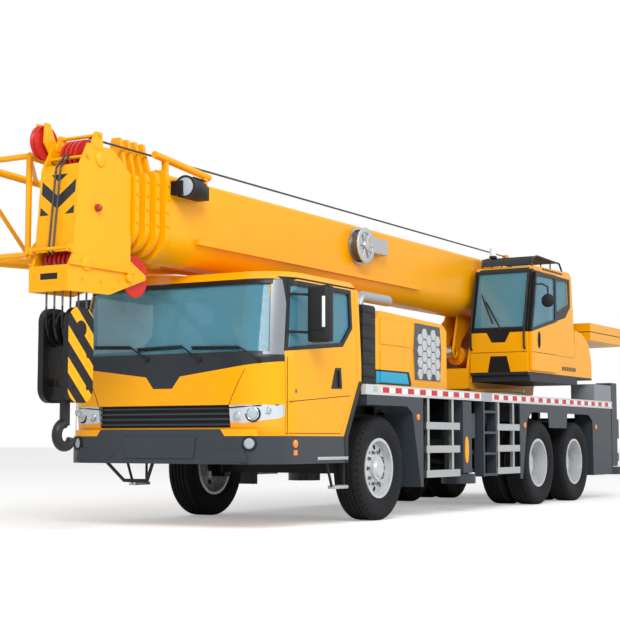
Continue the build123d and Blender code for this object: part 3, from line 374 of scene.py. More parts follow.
BADGE_NOTCH = [(0.60, 2.26), (0.68, 2.11), (0.87, 2.11), (0.95, 2.26)]
FOOT_NOTCH = [(0.61, 1.68), (0.66, 1.93), (0.89, 1.93), (0.95, 1.68)]
# Red squares along the deck's edge
SQUARE_PITCH = 0.2923
SQUARE_FIRST = 0.02
SQUARE_LONG = 0.15
# Stripes on the hook block
BLOCK_PITCH = 0.19
# Hand holes, painted near black as the shade seen through them, and nuts in a wheel's disc
HOLES = 10
HOLE_CIRCLE = 0.215
HOLE_R = 0.027
# Axle number, how far ahead it is, and where its discs lie across
DISCS = ((1, 0.0, 1.06, 1.14), (2, -4.38, 0.93, 1.06), (3, -5.73, 0.93, 1.06))

MATERIALS = {}


def patch(planes, code, rough=0.4, metallic=0.0):
    """One painted region."""
    return (planes, code, rough, metallic)


def chevrons():
    """Dark arms of the chevrons on the boom head's front plate."""
    plate = zone(x0=3.7, z0=2.78, y1=0.1895, z1=3.14)
    down, up = (0.0, -0.75, 1.0), (0.0, 0.75, -1.0)
    arms = ([(down, 2.83), (up, -2.945)], [(down, 3.07)], [(up, -2.715)])
    return [patch(plate + arm, DARK) for arm in arms]


def cab_regions():
    """Window surround, dark cowl, pillars and lining on the driver's cab, and the same on its doors."""
    pane = patch(side_planes(DOOR_PANE, 1.14), BLACK)
    cowl = [((0.0, -0.125, 1.0), 1.405)] + zone(x0=1.86, z1=1.66)
    cab = [
        pane, patch(cowl, DARK), patch(front_planes(COWL_NOTCH) + zone(x0=1.8), DARK),
        patch(zone(x0=1.8, z0=2.288, y1=1.12, z1=2.345), BLACK),
        patch(zone(x0=1.8, y0=1.075, z0=1.62, z1=2.345), "7F868B", 0.35, 0.3),
        patch(zone(x0=0.575, z0=0.92, x1=1.9, y1=1.2, z1=2.37), LINING, 0.8),
    ]
    return cab, [pane, patch(zone(y0=1.262), BLACK, 0.45), patch(zone(y1=1.19), LINING, 0.8)]


def operator_regions():
    """Window surround, notches, sill and lining on the operator's cab, and the surround on its door."""
    pane = patch(side_planes(OPERATOR_PANE, 1.17), BLACK)
    cab = [pane, patch(zone(x0=-4.37, z0=2.24, z1=3.09), BLACK)]
    cab += [patch(front_planes(notch) + zone(x0=-4.2), BLACK) for notch in (BADGE_NOTCH, FOOT_NOTCH)]
    cab += [
        patch(zone(z1=1.72), DARK, 0.5),
        patch(zone(x0=-5.86, y0=0.423, z0=1.69, x1=-4.16, y1=1.129, z1=3.11), LINING, 0.8),
    ]
    return cab, [pane]


def deck_regions():
    """Grey side, white edge, red squares and a bare joint along the deck."""
    edge = zone(y0=1.245, z0=1.322, x1=0.12, z1=1.38)
    start = at(SQUARE_FIRST) - SQUARE_LONG / 2
    squares = stripes(edge, (1.0, 0.0, 0.0), SQUARE_PITCH, SQUARE_LONG / SQUARE_PITCH, start)
    return [
        patch(zone(y0=1.189, z1=1.4), "C9CBCC", 0.35), patch(edge, "E4E5E5", 0.3),
        patch(squares, "C8202A", 0.3), patch(zone(x0=-2.77, y0=1.245, z0=1.3, x1=-2.44, z1=1.4), "9DA2A6"),
    ]


def make_materials(paint):
    """All finishes, by plain name, with the body and frame colours a user has set."""
    yellow, slate = tuple(paint.yellow), tuple(paint.slate)
    cab, door = cab_regions()
    operator, operator_door = operator_regions()
    hood = [
        patch(side_planes(MESH, 1.095), "50555A", 0.6), patch(side_planes(STRIP_EDGE, 1.095), BLACK, 0.45),
        patch(side_planes(STRIP, 1.095), "1FA3C9", 0.35),
    ]
    boom = [
        patch(zone(x0=-1.30, y0=0.312, z0=2.85, x1=-0.85, z1=3.27), "B9BDC0", 0.3, 0.6),
        patch(zone(x0=-1.65, y0=0.312, z0=2.99, x1=-1.09, z1=3.19), "A9ACAE", 0.45),
        patch(zone(x0=2.1, y0=0.312, z0=3.1, x1=2.57, z1=3.25), BLACK, 0.5),
    ]
    cheek = stripes(zone(y0=0.1685, z1=1.98), (-0.7, 0.0, 0.7), BLOCK_PITCH, 0.5, 0.0)
    block_bands = [patch(cheek, yellow, 0.35), patch(zone(z0=1.98), WIRE, 0.5, 0.6)]
    grille = [
        patch(zone(z0=0.94, x1=2.181), BLACK, 0.6),
        patch([((0.0, 1.0, 0.73), 1.38)] + zone(z0=0.868, z1=0.94), yellow, 0.32),
    ]
    # Name, colour, regions, and then what differs from plain body enamel
    dull = {"rough": 0.45, "coat": 0.1}
    dark_dull = {"rough": 0.4, "coat": 0.1}
    moulded = {"rough": 0.55, "coat": 0.0}
    for key, name, code, regions, changes in (
        ("yellow", "yellow enamel", yellow, (), {}),
        ("slate", "slate enamel", slate, (), dull),
        ("black", "black enamel", BLACK, (), dark_dull),
        ("silver", "silver enamel", SILVER, (), {"rough": 0.3, "metallic": 0.5}),
        ("white", "white enamel", "ECEDEE", (), {"rough": 0.3}),
        ("cab", "cab enamel", yellow, cab, {}),
        ("door", "door enamel", yellow, door, {}),
        ("hood", "hood enamel", yellow, hood, {}),
        ("operator", "operator cab enamel", yellow, operator, {}),
        ("operator_door", "operator door enamel", yellow, operator_door, {}),
        ("boom", "boom enamel", yellow, boom, {}),
        ("head", "boom head enamel", yellow, chevrons(), {}),
        ("turntable", "turntable enamel", yellow, [patch(zone(y0=0.37, z0=1.58, z1=1.685), DARK, 0.5)], {}),
        # The counterweight's seam is painted a darkened yellow as the shade inside its inset groove.
        ("weight", "counterweight enamel", yellow, [patch(zone(z0=2.386, z1=2.4), "5A3F08", 0.6)], {}),
        ("grille", "bumper enamel", slate, grille, dull),
        ("deck", "grey deck enamel", "8C9196", deck_regions(), {"rough": 0.5, "coat": 0.0}),
        ("block", "hook block enamel", BLACK, block_bands, dark_dull),
        ("exhaust", "intake plastic and exhaust steel", PLASTIC,
         [patch(zone(z0=2.235), "A9ACAE", 0.35, 0.8)], moulded),
        ("plastic", "black moulded plastic", PLASTIC, (), moulded),
        ("iron", "engine iron paint", "3A3C3E", (), {"rough": 0.6, "coat": 0.0}),
        ("trim", "cab trim plastic", LINING, (), {"rough": 0.7, "coat": 0.0}),
        ("sheave", "red sheave enamel", RED, (), {"rough": 0.4}),
        ("lamp", "headlight cover in cab enamel", yellow,
         [patch(front_planes(LAMP) + zone(x0=1.8), "C6D0D6", 0.1, 0.35)], {"coat": 0.6}),
        ("amber", "amber lamp plastic", AMBER, (), {"rough": 0.2, "coat": 0.8}),
        ("red_lamp", "red lamp plastic", "A5121A", (), {"rough": 0.15, "coat": 0.8}),
        ("hook", "forged hook paint", "222326", (), dull),
    ):
        MATERIALS[key] = enamel(name, code, regions, **changes)
    for number, ahead, low, high in DISCS:
        # Each rim's hand holes are painted shade: near-black discs stand where real holes would be.
        MATERIALS[f"rim_{number}"] = enamel(
            f"silver wheel enamel {number}", SILVER, [patch(hand_hole_shade(ahead, low, high), "151617", 0.7)],
            rough=0.28, metallic=0.3, bevel_mm=2, ripple=0.0, cloud=0.97,
        )
    MATERIALS.update(
        rubber=rubber("tyre rubber", "1C1D20"),
        cloth=seat_cloth("grey seat cloth", "3B3F45"),
        # The cab glass's blue is partly its tint and partly a painted reflection of a blue sky, which the
        # white sky does not give.
        glass=window_glass("tinted cab glass with painted sky reflection", "5FA6BD", 0.5),
        lens=window_glass("clear lens glass", "C4D6DF", 0.75),
        mirror=bare_metal("silvered mirror glass", "DDE3E6", 0.05),
        aluminium=bare_metal("anodised aluminium", "C9CCCE", 0.38, (0.04, 1, 1)),
        steel=bare_metal("machined steel", "8A8C8E", 0.4),
        chrome=bare_metal("chromed steel", "D8DADC", 0.12),
        rope=bare_metal("steel wire rope", "5B5D60", 0.45, grain_mm=14),
    )


NODE_FINISH = {
    "chassis_frame": "black", "deck": "deck", "front_axle": "black", "rear_axles": "black", "engine": "iron",
    "engine_hood": "hood", "intake_exhaust": "exhaust", "cab_shell": "cab", "windshield": "glass",
    "headlights": "lamp", "bumper": "grille", "cab_interior": "trim", "fenders": "slate",
    "side_guards": "aluminium", "slew_ring": "steel", "turntable": "turntable", "counterweight": "weight",
    "operator_cab": "operator", "operator_glass": "glass", "operator_door": "operator_door",
    "operator_door_glass": "glass", "winch_drum": "black", "boom_base": "boom", "fly_jib": "yellow",
    "boom_5": "head", "head_sheaves": "sheave", "luff_barrel": "yellow", "luff_rod": "chrome",
    "hook_block": "block", "hook": "hook", "door_left": "door", "door_right": "door",
    "door_glass_left": "glass", "door_glass_right": "glass", "knuckle_left": "black",
    "knuckle_right": "black",
}


def finish_for(node):
    """Name of the finish that a CAD node takes."""
    if node in NODE_FINISH:
        return NODE_FINISH[node]
    if node.startswith("tyre"):
        return "rubber"
    if node.startswith("rim"):
        return node[:5]
    return "yellow" if node.startswith("boom") else "slate"


# Mesh tools; every place is (ahead of the front axle, y, z) in metres
def spot(place):
    """Scene position of a place."""
    return Vector((at(place[0]), place[1], place[2]))


def tint(mesh, before, finish):
    """Gives the faces that are not in an earlier set their finish."""
    for face in mesh.faces:
        if face not in before:
            face.material_index = finish


def slab(mesh, outline, along, finish=0):
    """Plate: an outline of places pushed along a vector."""
    before = set(mesh.faces)
    face = mesh.faces.new([mesh.verts.new(spot(place)) for place in outline])
    grown = bmesh.ops.extrude_face_region(mesh, geom=[face])["geom"]
    bmesh.ops.translate(mesh, verts=[v for v in grown if isinstance(v, bmesh.types.BMVert)], vec=along)
    tint(mesh, before, finish)


def side_slab(mesh, points, inner, outer, finish=0):
    """Plate across the crane from (ahead, z) points."""
    slab(mesh, [(ahead, inner, z) for ahead, z in points], (0, outer - inner, 0), finish)


def block(mesh, low, high, round_off=0.0, finish=0):
    """Box between two corners, with its edges rounded off."""
    before = set(mesh.faces)
    first, last = spot(low), spot(high)
    size = Matrix.Diagonal([abs(v) for v in last - first]).to_4x4()
    made = bmesh.ops.create_cube(mesh, size=1, matrix=Matrix.Translation((first + last) / 2) @ size)
    if round_off:
        edges = {edge for vert in made["verts"] for edge in vert.link_edges}
        bmesh.ops.bevel(
            mesh, geom=list(edges), offset=round_off, segments=3, profile=0.5, affect="EDGES", material=-1,
            clamp_overlap=True,
        )
    tint(mesh, before, finish)


def rod(mesh, start, end, radius, sides=8, finish=0):
    """Bar between two places."""
    before = set(mesh.faces)
    first, last = spot(start), spot(end)
    turn = (last - first).to_track_quat("Z", "Y").to_matrix().to_4x4()
    bmesh.ops.create_cone(
        mesh, cap_ends=True, segments=sides, radius1=radius, radius2=radius, depth=(last - first).length,
        matrix=Matrix.Translation((first + last) / 2) @ turn,
    )
    tint(mesh, before, finish)


def bent_rod(mesh, places, radius, sides=8, finish=0):
    """Bar through several places."""
    for start, end in zip(places, places[1:]):
        rod(mesh, start, end, radius, sides, finish)


def turned(mesh, profile, centre, axis, steps=24, finish=0, closed=False):
    """Shape spun about an axis from (along, radius) points."""
    before = set(mesh.faces)
    axis = Vector(axis).normalized()
    out = axis.orthogonal().normalized()
    verts = [mesh.verts.new(spot(centre) + axis * along + out * radius) for along, radius in profile]
    pairs = list(zip(verts, verts[1:])) + ([(verts[-1], verts[0])] if closed else [])
    edges = [mesh.edges.new(pair) for pair in pairs]
    bmesh.ops.spin(
        mesh, geom=verts + edges, cent=spot(centre), axis=axis, angle=tau, steps=steps, use_merge=True,
    )
    tint(mesh, before, finish)


def oval(mesh, profile, stretch, place):
    """Upright oval plate on the left side, first in its mesh: a turned shape stretched in height."""
    turned(mesh, profile, (0, 0, 0), (0, 1, 0), 28)
    bmesh.ops.scale(mesh, vec=(1, 1, stretch), verts=mesh.verts)
    bmesh.ops.translate(mesh, vec=place, verts=mesh.verts)


def piece(name, mesh, body, finishes, sharp=0.6):
    """Closes a mesh as a piece that rides on a body."""
    bmesh.ops.remove_doubles(mesh, verts=mesh.verts, dist=0.00002)
    bmesh.ops.recalc_face_normals(mesh, faces=mesh.faces)
    data = bpy.data.meshes.new(name)
    mesh.to_mesh(data)
    mesh.free()
    for finish in finishes:
        data.materials.append(MATERIALS[finish])
    data.shade_smooth()
    data.set_sharp_from_angle(angle=sharp)
    obj = bpy.data.objects.new(name, data)
    bpy.context.scene.collection.objects.link(obj)
    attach(obj, body)
    return obj


# Cushions: how full their sides are, how far the sides pull in, and the depth of the sewn channels
CUSHION_FULL = 0.97
CUSHION_PULL = 0.05
CHANNEL = 0.012


def cushion(name, low, high, body, crown, facing):
    """Padded block with crowned faces, whose sides pull in between its corners, and sewn channels."""
    mesh = bmesh.new()
    bmesh.ops.create_cube(mesh, size=2)
    bmesh.ops.subdivide_edges(mesh, edges=mesh.edges, cuts=9, use_grid_fill=True)
    first, last = spot(low), spot(high)
    middle, half = (first + last) / 2, (last - first) / 2
    for vert in mesh.verts:
        place = vert.co.copy()
        flat = [k for k in range(3) if k != facing]
        dome = (1 - place[flat[0]] ** 2) * (1 - place[flat[1]] ** 2)
        for k in flat:
            other = flat[1] if k == flat[0] else flat[0]
            pull = CUSHION_PULL * (1 - place[other] ** 2) * (1 - abs(vert.co[facing]))
            place[k] *= CUSHION_FULL - pull
        channel = CHANNEL * max(0.0, cos(5 * pi * vert.co[1])) ** 8
        place[facing] *= 1 - crown + crown * dome - channel / half[facing]
        vert.co = middle + Vector([place[k] * half[k] for k in range(3)])
    bmesh.ops.smooth_vert(
        mesh, verts=mesh.verts, factor=0.5, use_axis_x=True, use_axis_y=True, use_axis_z=True,
    )
    made = piece(name, mesh, body, ["cloth"], 1.2)
    return made


# Front of the driver's cab: height and how far ahead its face is
NOSE = [(0.87, 2.2), (1.15, 2.24), (1.6, 2.225), (2.33, 2.06), (2.425, 1.96)]
NOSE_FLAT = 0.85
NOSE_ROUND = 0.4


def nose(across, z, proud=0.0):
    """Place on the cab's front, or proud of it."""
    for (z0, x0), (z1, x1) in zip(NOSE, NOSE[1:]):
        if z <= z1:
            ahead = x0 + (x1 - x0) * (z - z0) / (z1 - z0)
            break
    corner = max(abs(across) - NOSE_FLAT, 0.0)
    return (ahead - NOSE_ROUND + (NOSE_ROUND**2 - corner**2) ** 0.5 + proud, across, z)


class CRANE_OT_paint(bpy.types.Operator):
    """Gives every CAD node its finish"""

    bl_idname = "crane.paint"
    bl_label = "Paint Nodes"

    def execute(self, context):
        make_materials(context.scene.crane_paint)
        for name, obj in NODES.items():
            obj.data.materials.clear()
            obj.data.materials.append(MATERIALS[finish_for(name)])
        return {"FINISHED"}


# Half of the tyre's outline from bead to middle rib, (from its middle, radius)
TYRE_HALF = [
    (0.1085, 0.2985), (0.1095, 0.314), (0.118, 0.330), (0.134, 0.362), (0.1455, 0.398), (0.1495, 0.43),
    (0.1485, 0.46), (0.1435, 0.488), (0.137, 0.503), (0.128, 0.527), (0.118, 0.5345), (0.108, 0.538),
    (0.081, 0.54), (0.078, 0.527), (0.060, 0.527), (0.057, 0.54), (0.035, 0.54), (0.032, 0.527),
    (0.014, 0.527), (0.011, 0.54),
]
TYRE_STEPS = 96
# Nuts: their circle, the start, stop, radius and sides of washer and hexagon, and the ring inside them
NUT_CIRCLE = 0.1675
NUT_PARTS = ((0, 0.006, 0.022, 12), (0.005, 0.03, 0.016, 6))
NUT_RING = [(0.0, 0.128), (0.012, 0.128), (0.012, 0.121), (0.0, 0.121)]
# Shoulder faces that get a notch: their least and greatest radius, inset and depth
SHOULDER = (0.504, 0.533)
NOTCH_EDGE = 0.003
NOTCH_DEEP = 0.007
# Axle number, how far ahead it is, where its tyres' middles lie across, and where its nuts start
WHEELS = ((1, 0.0, (1.035,), 1.103), (2, -4.38, (1.08, 0.74), 0.958), (3, -5.73, (1.08, 0.74), 0.958))


class CRANE_OT_wheels(bpy.types.Operator):
    """Makes the tyres with their ribs and shoulder blocks, and the wheel nuts"""

    bl_idname = "crane.wheels"
    bl_label = "Make Wheels"

    def execute(self, context):
        outline = [(-along, radius) for along, radius in TYRE_HALF]
        outline += [(along, radius) for along, radius in reversed(TYRE_HALF)]
        for number, ahead, places, nuts_at in WHEELS:
            for side, end in zip(BOTH, "lr"):
                mesh = bmesh.new()
                for across in places:
                    turned(mesh, outline, (ahead, side * across, AXLE.z), (0, 1, 0), TYRE_STEPS, closed=True)
                shoulder = []
                for face in mesh.faces:
                    arm = face.calc_center_median() - spot((ahead, 0, AXLE.z))
                    radius = hypot(arm.x, arm.z)
                    if SHOULDER[0] < radius < SHOULDER[1] and abs(face.normal.y) > 0.3:
                        if round(atan2(arm.z, arm.x) / tau * TYRE_STEPS - 0.5) % 2:
                            shoulder.append(face)
                bmesh.ops.recalc_face_normals(mesh, faces=mesh.faces)
                bmesh.ops.inset_individual(mesh, faces=shoulder, thickness=NOTCH_EDGE, depth=-NOTCH_DEEP)
                tyre = piece(f"tread_{number}{end}", mesh, f"wheel_{number}{end}", ["rubber"], 0.5)
                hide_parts(f"tyre_{number}{end}")
                mesh = bmesh.new()
                for k in range(HOLES):
                    turn = tau * k / HOLES
                    x, z = ahead + NUT_CIRCLE * cos(turn), AXLE.z + NUT_CIRCLE * sin(turn)
                    for start, stop, radius, sides in NUT_PARTS:
                        ends = [(x, side * (nuts_at + along), z) for along in (start, stop)]
                        rod(mesh, *ends, radius, sides)
                turned(mesh, NUT_RING, (ahead, side * nuts_at, AXLE.z), (0, side, 0), 40, closed=True)
                piece(f"wheel_nuts_{number}{end}", mesh, f"wheel_{number}{end}", ["steel"])
        return {"FINISHED"}


# Sides of the driver's cab
CAB_SIDE = 1.249
# Wiper pivot, elbow and tip, (y, z)
WIPERS = (
    ((-0.194, 1.601), (-0.411, 1.732), (-0.864, 1.747)), ((0.42, 1.583), (0.201, 1.721), (-0.327, 1.709)),
    ((1.059, 1.565), (0.852, 1.695), (0.316, 1.707)),
)
ROUND_LENS = [(0.0, 0.048), (0.014, 0.048), (0.017, 0.042), (0.008, 0.037), (0.0, 0.037)]
LENS_BULB = [(0.0, 0.037), (0.008, 0.036), (0.014, 0.022), (0.016, 0.0)]
# Headlight lenses: y, z and size
LENSES = ((1.0, 1.07, 1.25), (0.85, 1.05, 0.85), (1.12, 1.10, 0.7))
LENS_SOCKET = [(0.0, 0.075), (0.006, 0.074), (0.008, 0.06), (0.0, 0.055)]
FOG_RIM = [(0, 0.07), (0.02, 0.068), (0.022, 0.056), (0, 0.052)]
FOG_BULB = [(0, 0.054), (0.012, 0.05), (0.018, 0.03), (0.02, 0)]
FRONT_MARKER = [(0, 0.04), (0.012, 0.038), (0.022, 0.02), (0.024, 0)]
# Lines on the cab's front and the bar below it, (y, z)
SEAM = ((0.765, 1.158), (0.80, 1.24), (0.865, 1.37), (0.928, 1.485))
BROW = ((0.75, 1.128), (0.90, 1.137), (1.05, 1.146), (1.19, 1.153))
BAR = ((-0.66, 0.63), (-0.436, 0.445), (-0.16, 0.445), (-0.09, 0.63))
PLATE = ((-0.40, 0.66), (0.40, 0.66), (0.43, 0.86), (-0.43, 0.86))
SKIRT = ((-1.0, 0.63), (-0.62, 0.63), (-0.5, 0.72), (-0.95, 0.76))


class CRANE_OT_cab_front(bpy.types.Operator):
    """Makes the wipers, seams, lamps, steps and bar on the cab's front"""

    bl_idname = "crane.cab_front"
    bl_label = "Make Cab Front"

    def execute(self, context):
        mesh = bmesh.new()
        for pivot, elbow, tip in WIPERS:
            bent_rod(mesh, [nose(*pivot, 0.012), nose(*elbow, 0.016), nose(*tip, 0.008)], 0.009)
            turned(mesh, [(0, 0.024), (0.03, 0.02), (0.034, 0.0)], nose(*pivot, -0.005), (1, 0, 0), 12)
            middle = ((elbow[0] + tip[0]) / 2, (elbow[1] + tip[1]) / 2)
            for ends in ((elbow, middle), (middle, tip)):
                rubbers = [Vector(nose(*end, -0.004)) - Vector((0, 0, 0.016)) for end in ends]
                rod(mesh, *rubbers, 0.008, 6)
        piece("wipers", mesh, "chassis", ["plastic"])

        mesh = bmesh.new()
        for side in BOTH:
            bent_rod(mesh, [nose(side * y, z, -0.001) for y, z in SEAM], 0.004, 6)
            rod(mesh, (1.995, side * 1.2505, 0.88), (1.995, side * 1.2505, 1.60), 0.003, 6)
        piece("cab_seams", mesh, "chassis", ["black"])

        mesh = bmesh.new()
        for side in BOTH:
            aim = (1, 0.3 * side, 0)
            for y, z, size in LENSES:
                for profile, finish in ((ROUND_LENS, 0), (LENS_BULB, 1)):
                    shape = [(along, radius * size) for along, radius in profile]
                    turned(mesh, shape, nose(side * y, z, -0.006), aim, 24, finish)
            turned(mesh, LENS_SOCKET, nose(side * LENSES[0][0], LENSES[0][1], -0.006), aim, 24, 2)
            bent_rod(mesh, [nose(side * y, z, 0.003) for y, z in BROW], 0.006, 6, 2)
        piece("headlight_lenses", mesh, "chassis", ["chrome", "lens", "black"])

        mesh = bmesh.new()
        for side in BOTH:
            for finish, profile in enumerate((FOG_RIM, FOG_BULB)):
                turned(mesh, profile, (2.252, side * 1.0, 0.80), (1, 0.35 * side, 0), 28, finish)
            turned(mesh, FRONT_MARKER, (1.859, side * CAB_SIDE, 0.795), (0, side, 0), 20, 2)
            block(mesh, (1.83, side * 1.247, 0.688), (1.888, side * 1.262, 0.737), 0.004, 2)
        piece("front_lamps", mesh, "chassis", ["plastic", "lens", "amber"])

        mesh = bmesh.new()
        for side in BOTH:
            for front, z in ((1.44, 0.655), (1.11, 0.373)):
                block(mesh, (0.848, side * 1.17, z - 0.016), (front, side * 1.258, z + 0.016), 0.005)
                for k in range(5):
                    y = side * (1.185 + 0.015 * k)
                    rod(mesh, (0.86, y, z + 0.016), (front - 0.012, y, z + 0.016), 0.003, 6)
            for low, high in ((0.865, 0.865), (1.095, 1.215)):
                rod(mesh, (low, side * 1.21, 0.37), (high, side * 1.21, 0.64), 0.014, 8, 1)
        piece("cab_steps", mesh, "chassis", ["aluminium", "black"])

        mesh = bmesh.new()
        bent_rod(mesh, [(2.25, y, z) for y, z in BAR], 0.017)
        piece("front_bar", mesh, "chassis", ["black"])

        mesh = bmesh.new()
        slab(mesh, [(2.284, y, z) for y, z in PLATE], (0.012, 0, 0))
        for side in BOTH:
            slab(mesh, [(2.27, side * y, z) for y, z in SKIRT], (0.018, 0, 0))
        piece("bumper_panels", mesh, "chassis", ["slate"])
        return {"FINISHED"}


# Door handle's recess and lever, (ahead, z), and its lock
RECESS = [(1.18, 1.328), (1.10, 1.534), (0.982, 1.54), (0.962, 1.333)]
LEVER = [(1.03, 1.35), (1.045, 1.51), (1.005, 1.51), (0.985, 1.35)]
LOCK = [(0, 0.02), (0.006, 0.019), (0.007, 0.0)]
# Mirror's housing, front plate, white strip and glass: corners, rounding and finish
MIRROR = (
    ((1.60, 1.29, 1.745), (1.725, 1.532, 2.287), 0.045, 0),
    ((1.72, 1.33, 1.86), (1.732, 1.49, 2.20), 0.012, 0),
    ((1.728, 1.468, 1.884), (1.738, 1.5, 2.176), 0.004, 1),
    ((1.592, 1.32, 1.79), (1.604, 1.505, 2.24), 0.003, 2),
)


class CRANE_OT_doors(bpy.types.Operator):
    """Makes the door handles, a black line painted as the shadow of each door's crease, and mirrors"""

    bl_idname = "crane.doors"
    bl_label = "Make Door Fittings"

    def execute(self, context):
        for side, name in zip(BOTH, ("left", "right")):
            mesh = bmesh.new()
            side_slab(mesh, RECESS, side * CAB_SIDE, side * 1.252)
            side_slab(mesh, LEVER, side * 1.25, side * 1.266)
            turned(mesh, LOCK, (1.842, side * CAB_SIDE, 1.287), (0, side, 0), 16, 1)
            # Black rod along the door: a painted shadow line that stands for the door's crease.
            rod(mesh, (0.80, side * CAB_SIDE, 1.27), (1.955, side * CAB_SIDE, 1.185), 0.004, 6)
            piece(f"door_fittings_{name}", mesh, f"door_{name}", ["black", "steel"])
            mesh = bmesh.new()
            for low, high, round_off, finish in MIRROR:
                corners = [(ahead, side * y, z) for ahead, y, z in (low, high)]
                block(mesh, *corners, round_off, finish)
            piece(f"mirror_{name}", mesh, f"door_{name}", ["plastic", "white", "mirror"])
        return {"FINISHED"}


# Seats' places across, and the steering wheel's radius and half its thickness
SEAT_Y = 0.62
STEERING_R = 0.22
GRIP_R = 0.017


class CRANE_OT_cab_inside(bpy.types.Operator):
    """Makes the dashboard, steering wheel and seats in the driver's cab"""

    bl_idname = "crane.cab_inside"
    bl_label = "Make Cab Inside"

    def execute(self, context):
        mesh = bmesh.new()
        block(mesh, (1.73, -1.0, 1.25), (2.06, 1.0, 1.53), 0.06)
        block(mesh, (1.76, 0.36, 1.48), (1.95, 0.88, 1.60), 0.05)
        block(mesh, (1.86, -0.9, 0.935), (2.05, 0.9, 1.28), 0.03)
        for y in (-SEAT_Y, SEAT_Y):
            block(mesh, (1.0, y - 0.18, 0.935), (1.4, y + 0.18, 1.25), 0.03)
        rod(mesh, (1.80, SEAT_Y, 1.50), (1.61, SEAT_Y, 1.69), 0.032, 16)
        hub, axle = Vector((1.6, SEAT_Y, 1.7)), Vector((-0.45, 0, 0.89)).normalized()
        turns = [tau * k / 10 for k in range(10)]
        ring = [(GRIP_R * sin(turn), STEERING_R + GRIP_R * cos(turn)) for turn in turns]
        turned(mesh, ring, hub, axle, 40, closed=True)
        turned(mesh, [(-0.02, 0.0), (-0.02, 0.06), (0.012, 0.055), (0.018, 0.0)], hub, axle, 20)
        across = axle.cross(Vector((0, 1, 0)))
        for arm in (Vector((0, 1, 0)), Vector((0, -1, 0)), across):
            rod(mesh, hub + arm * 0.05, hub + arm * 0.215, 0.012, 8)
        dash = piece("dashboard", mesh, "chassis", ["trim"])
        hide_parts("cab_interior")
        for y, name in ((SEAT_Y, "driver"), (-SEAT_Y, "mate")):
            cushion(f"{name}_seat", (0.95, y - 0.25, 1.245), (1.48, y + 0.25, 1.39), "chassis", 0.3, 2)
            cushion(f"{name}_back", (0.87, y - 0.24, 1.36), (1.02, y + 0.24, 1.92), "chassis", 0.25, 0)
            cushion(f"{name}_headrest", (0.88, y - 0.14, 1.95), (0.99, y + 0.14, 2.13), "chassis", 0.25, 0)
            mesh = bmesh.new()
            for post in (-0.06, 0.06):
                rod(mesh, (0.94, y + post, 1.86), (0.94, y + post, 2.0), 0.008)
            piece(f"{name}_posts", mesh, "chassis", ["steel"])
        return {"FINISHED"}


# Hood's outer face, its raised panels as (ahead, z), and the honeycomb's pitch and lines
HOOD_SIDE = 1.098
HOOD_PANELS = (
    [(-0.13, 1.85), (-0.13, 2.12), (-0.87, 2.115), (-0.87, 1.85)],
    [(-0.13, 1.44), (-0.13, 1.78), (-0.87, 1.78), (-0.87, 1.44)],
)
CELL = 0.15
CELL_LINE = 0.016


class CRANE_OT_hood(bpy.types.Operator):
    """Makes the hood's panels and its honeycomb, and the ribs of the air intake"""

    bl_idname = "crane.hood"
    bl_label = "Make Hood"

    def execute(self, context):
        mesh = bmesh.new()
        for side in BOTH:
            for panel in HOOD_PANELS:
                side_slab(mesh, panel, side * HOOD_SIDE, side * 1.11)
            side_slab(mesh, MESH, side * HOOD_SIDE, side * 1.108)
        piece("hood_panels", mesh, "chassis", ["hood"])
        mesh = bmesh.new()
        planes = side_planes(MESH, 0.0)[:-1]
        size = (CELL - CELL_LINE) / 2
        turns = [tau * k / 6 for k in range(6)]
        for side in BOTH:
            for column in range(7):
                for row in range(6):
                    ahead = -0.905 - CELL * 0.75 * (column + 0.5)
                    z = 1.50 + CELL * sin(pi / 3) * (row + 0.5 * (column % 2))
                    cell = [(ahead + size * cos(turn), z + size * sin(turn)) for turn in turns]
                    reach = [Vector(n).dot(spot((x, 0, h))) - d for n, d in planes for x, h in cell]
                    if min(reach) > 0:
                        side_slab(mesh, cell, side * 1.107, side * 1.118)
        piece("hood_honeycomb", mesh, "chassis", ["silver"])
        mesh = bmesh.new()
        for k in range(6):
            z = 1.48 + 0.135 * k
            block(mesh, (0.0, 0.832, z), (0.258, 1.108, z + 0.085), 0.012)
        piece("intake_ribs", mesh, "chassis", ["plastic"])
        return {"FINISHED"}


# Trim behind the cab, (ahead, z), and the amber lamps along the side
ARCH = [(0.612, 1.42), (0.54, 1.42), (0.843, 0.86), (0.843, 0.61), (0.90, 0.61), (0.925, 0.868)]
MARKER = [(0, 0.036), (0.01, 0.034), (0.018, 0.018), (0.02, 0)]
MARKERS = ((-0.73, 1.08), (-3.80, 1.02), (-6.50, 1.02))


class CRANE_OT_chassis_trim(bpy.types.Operator):
    """Makes the arch trim, markers and edge lamp along the chassis"""

    bl_idname = "crane.chassis_trim"
    bl_label = "Make Chassis Trim"

    def execute(self, context):
        mesh = bmesh.new()
        for side in BOTH:
            side_slab(mesh, ARCH, side * 1.236, side * 1.254)
        piece("arch_trim", mesh, "chassis", ["black"])
        mesh = bmesh.new()
        for side in BOTH:
            for ahead, z in MARKERS:
                turned(mesh, MARKER, (ahead, side * CAB_SIDE, z), (0, side, 0), 20)
        piece("side_markers", mesh, "chassis", ["amber"])
        mesh = bmesh.new()
        for side in BOTH:
            block(mesh, (0.23, side * 1.244, 1.335), (0.30, side * 1.262, 1.383), 0.006)
        piece("edge_lamps", mesh, "chassis", ["lens"])
        mesh = bmesh.new()
        oval(mesh, [(0, 0.05), (0.01, 0.048), (0.012, 0.0)], 3.2, (-2.05, 1.228, 0.718))
        piece("jack_mark", mesh, "outrigger_beam_fl", ["yellow"])
        return {"FINISHED"}


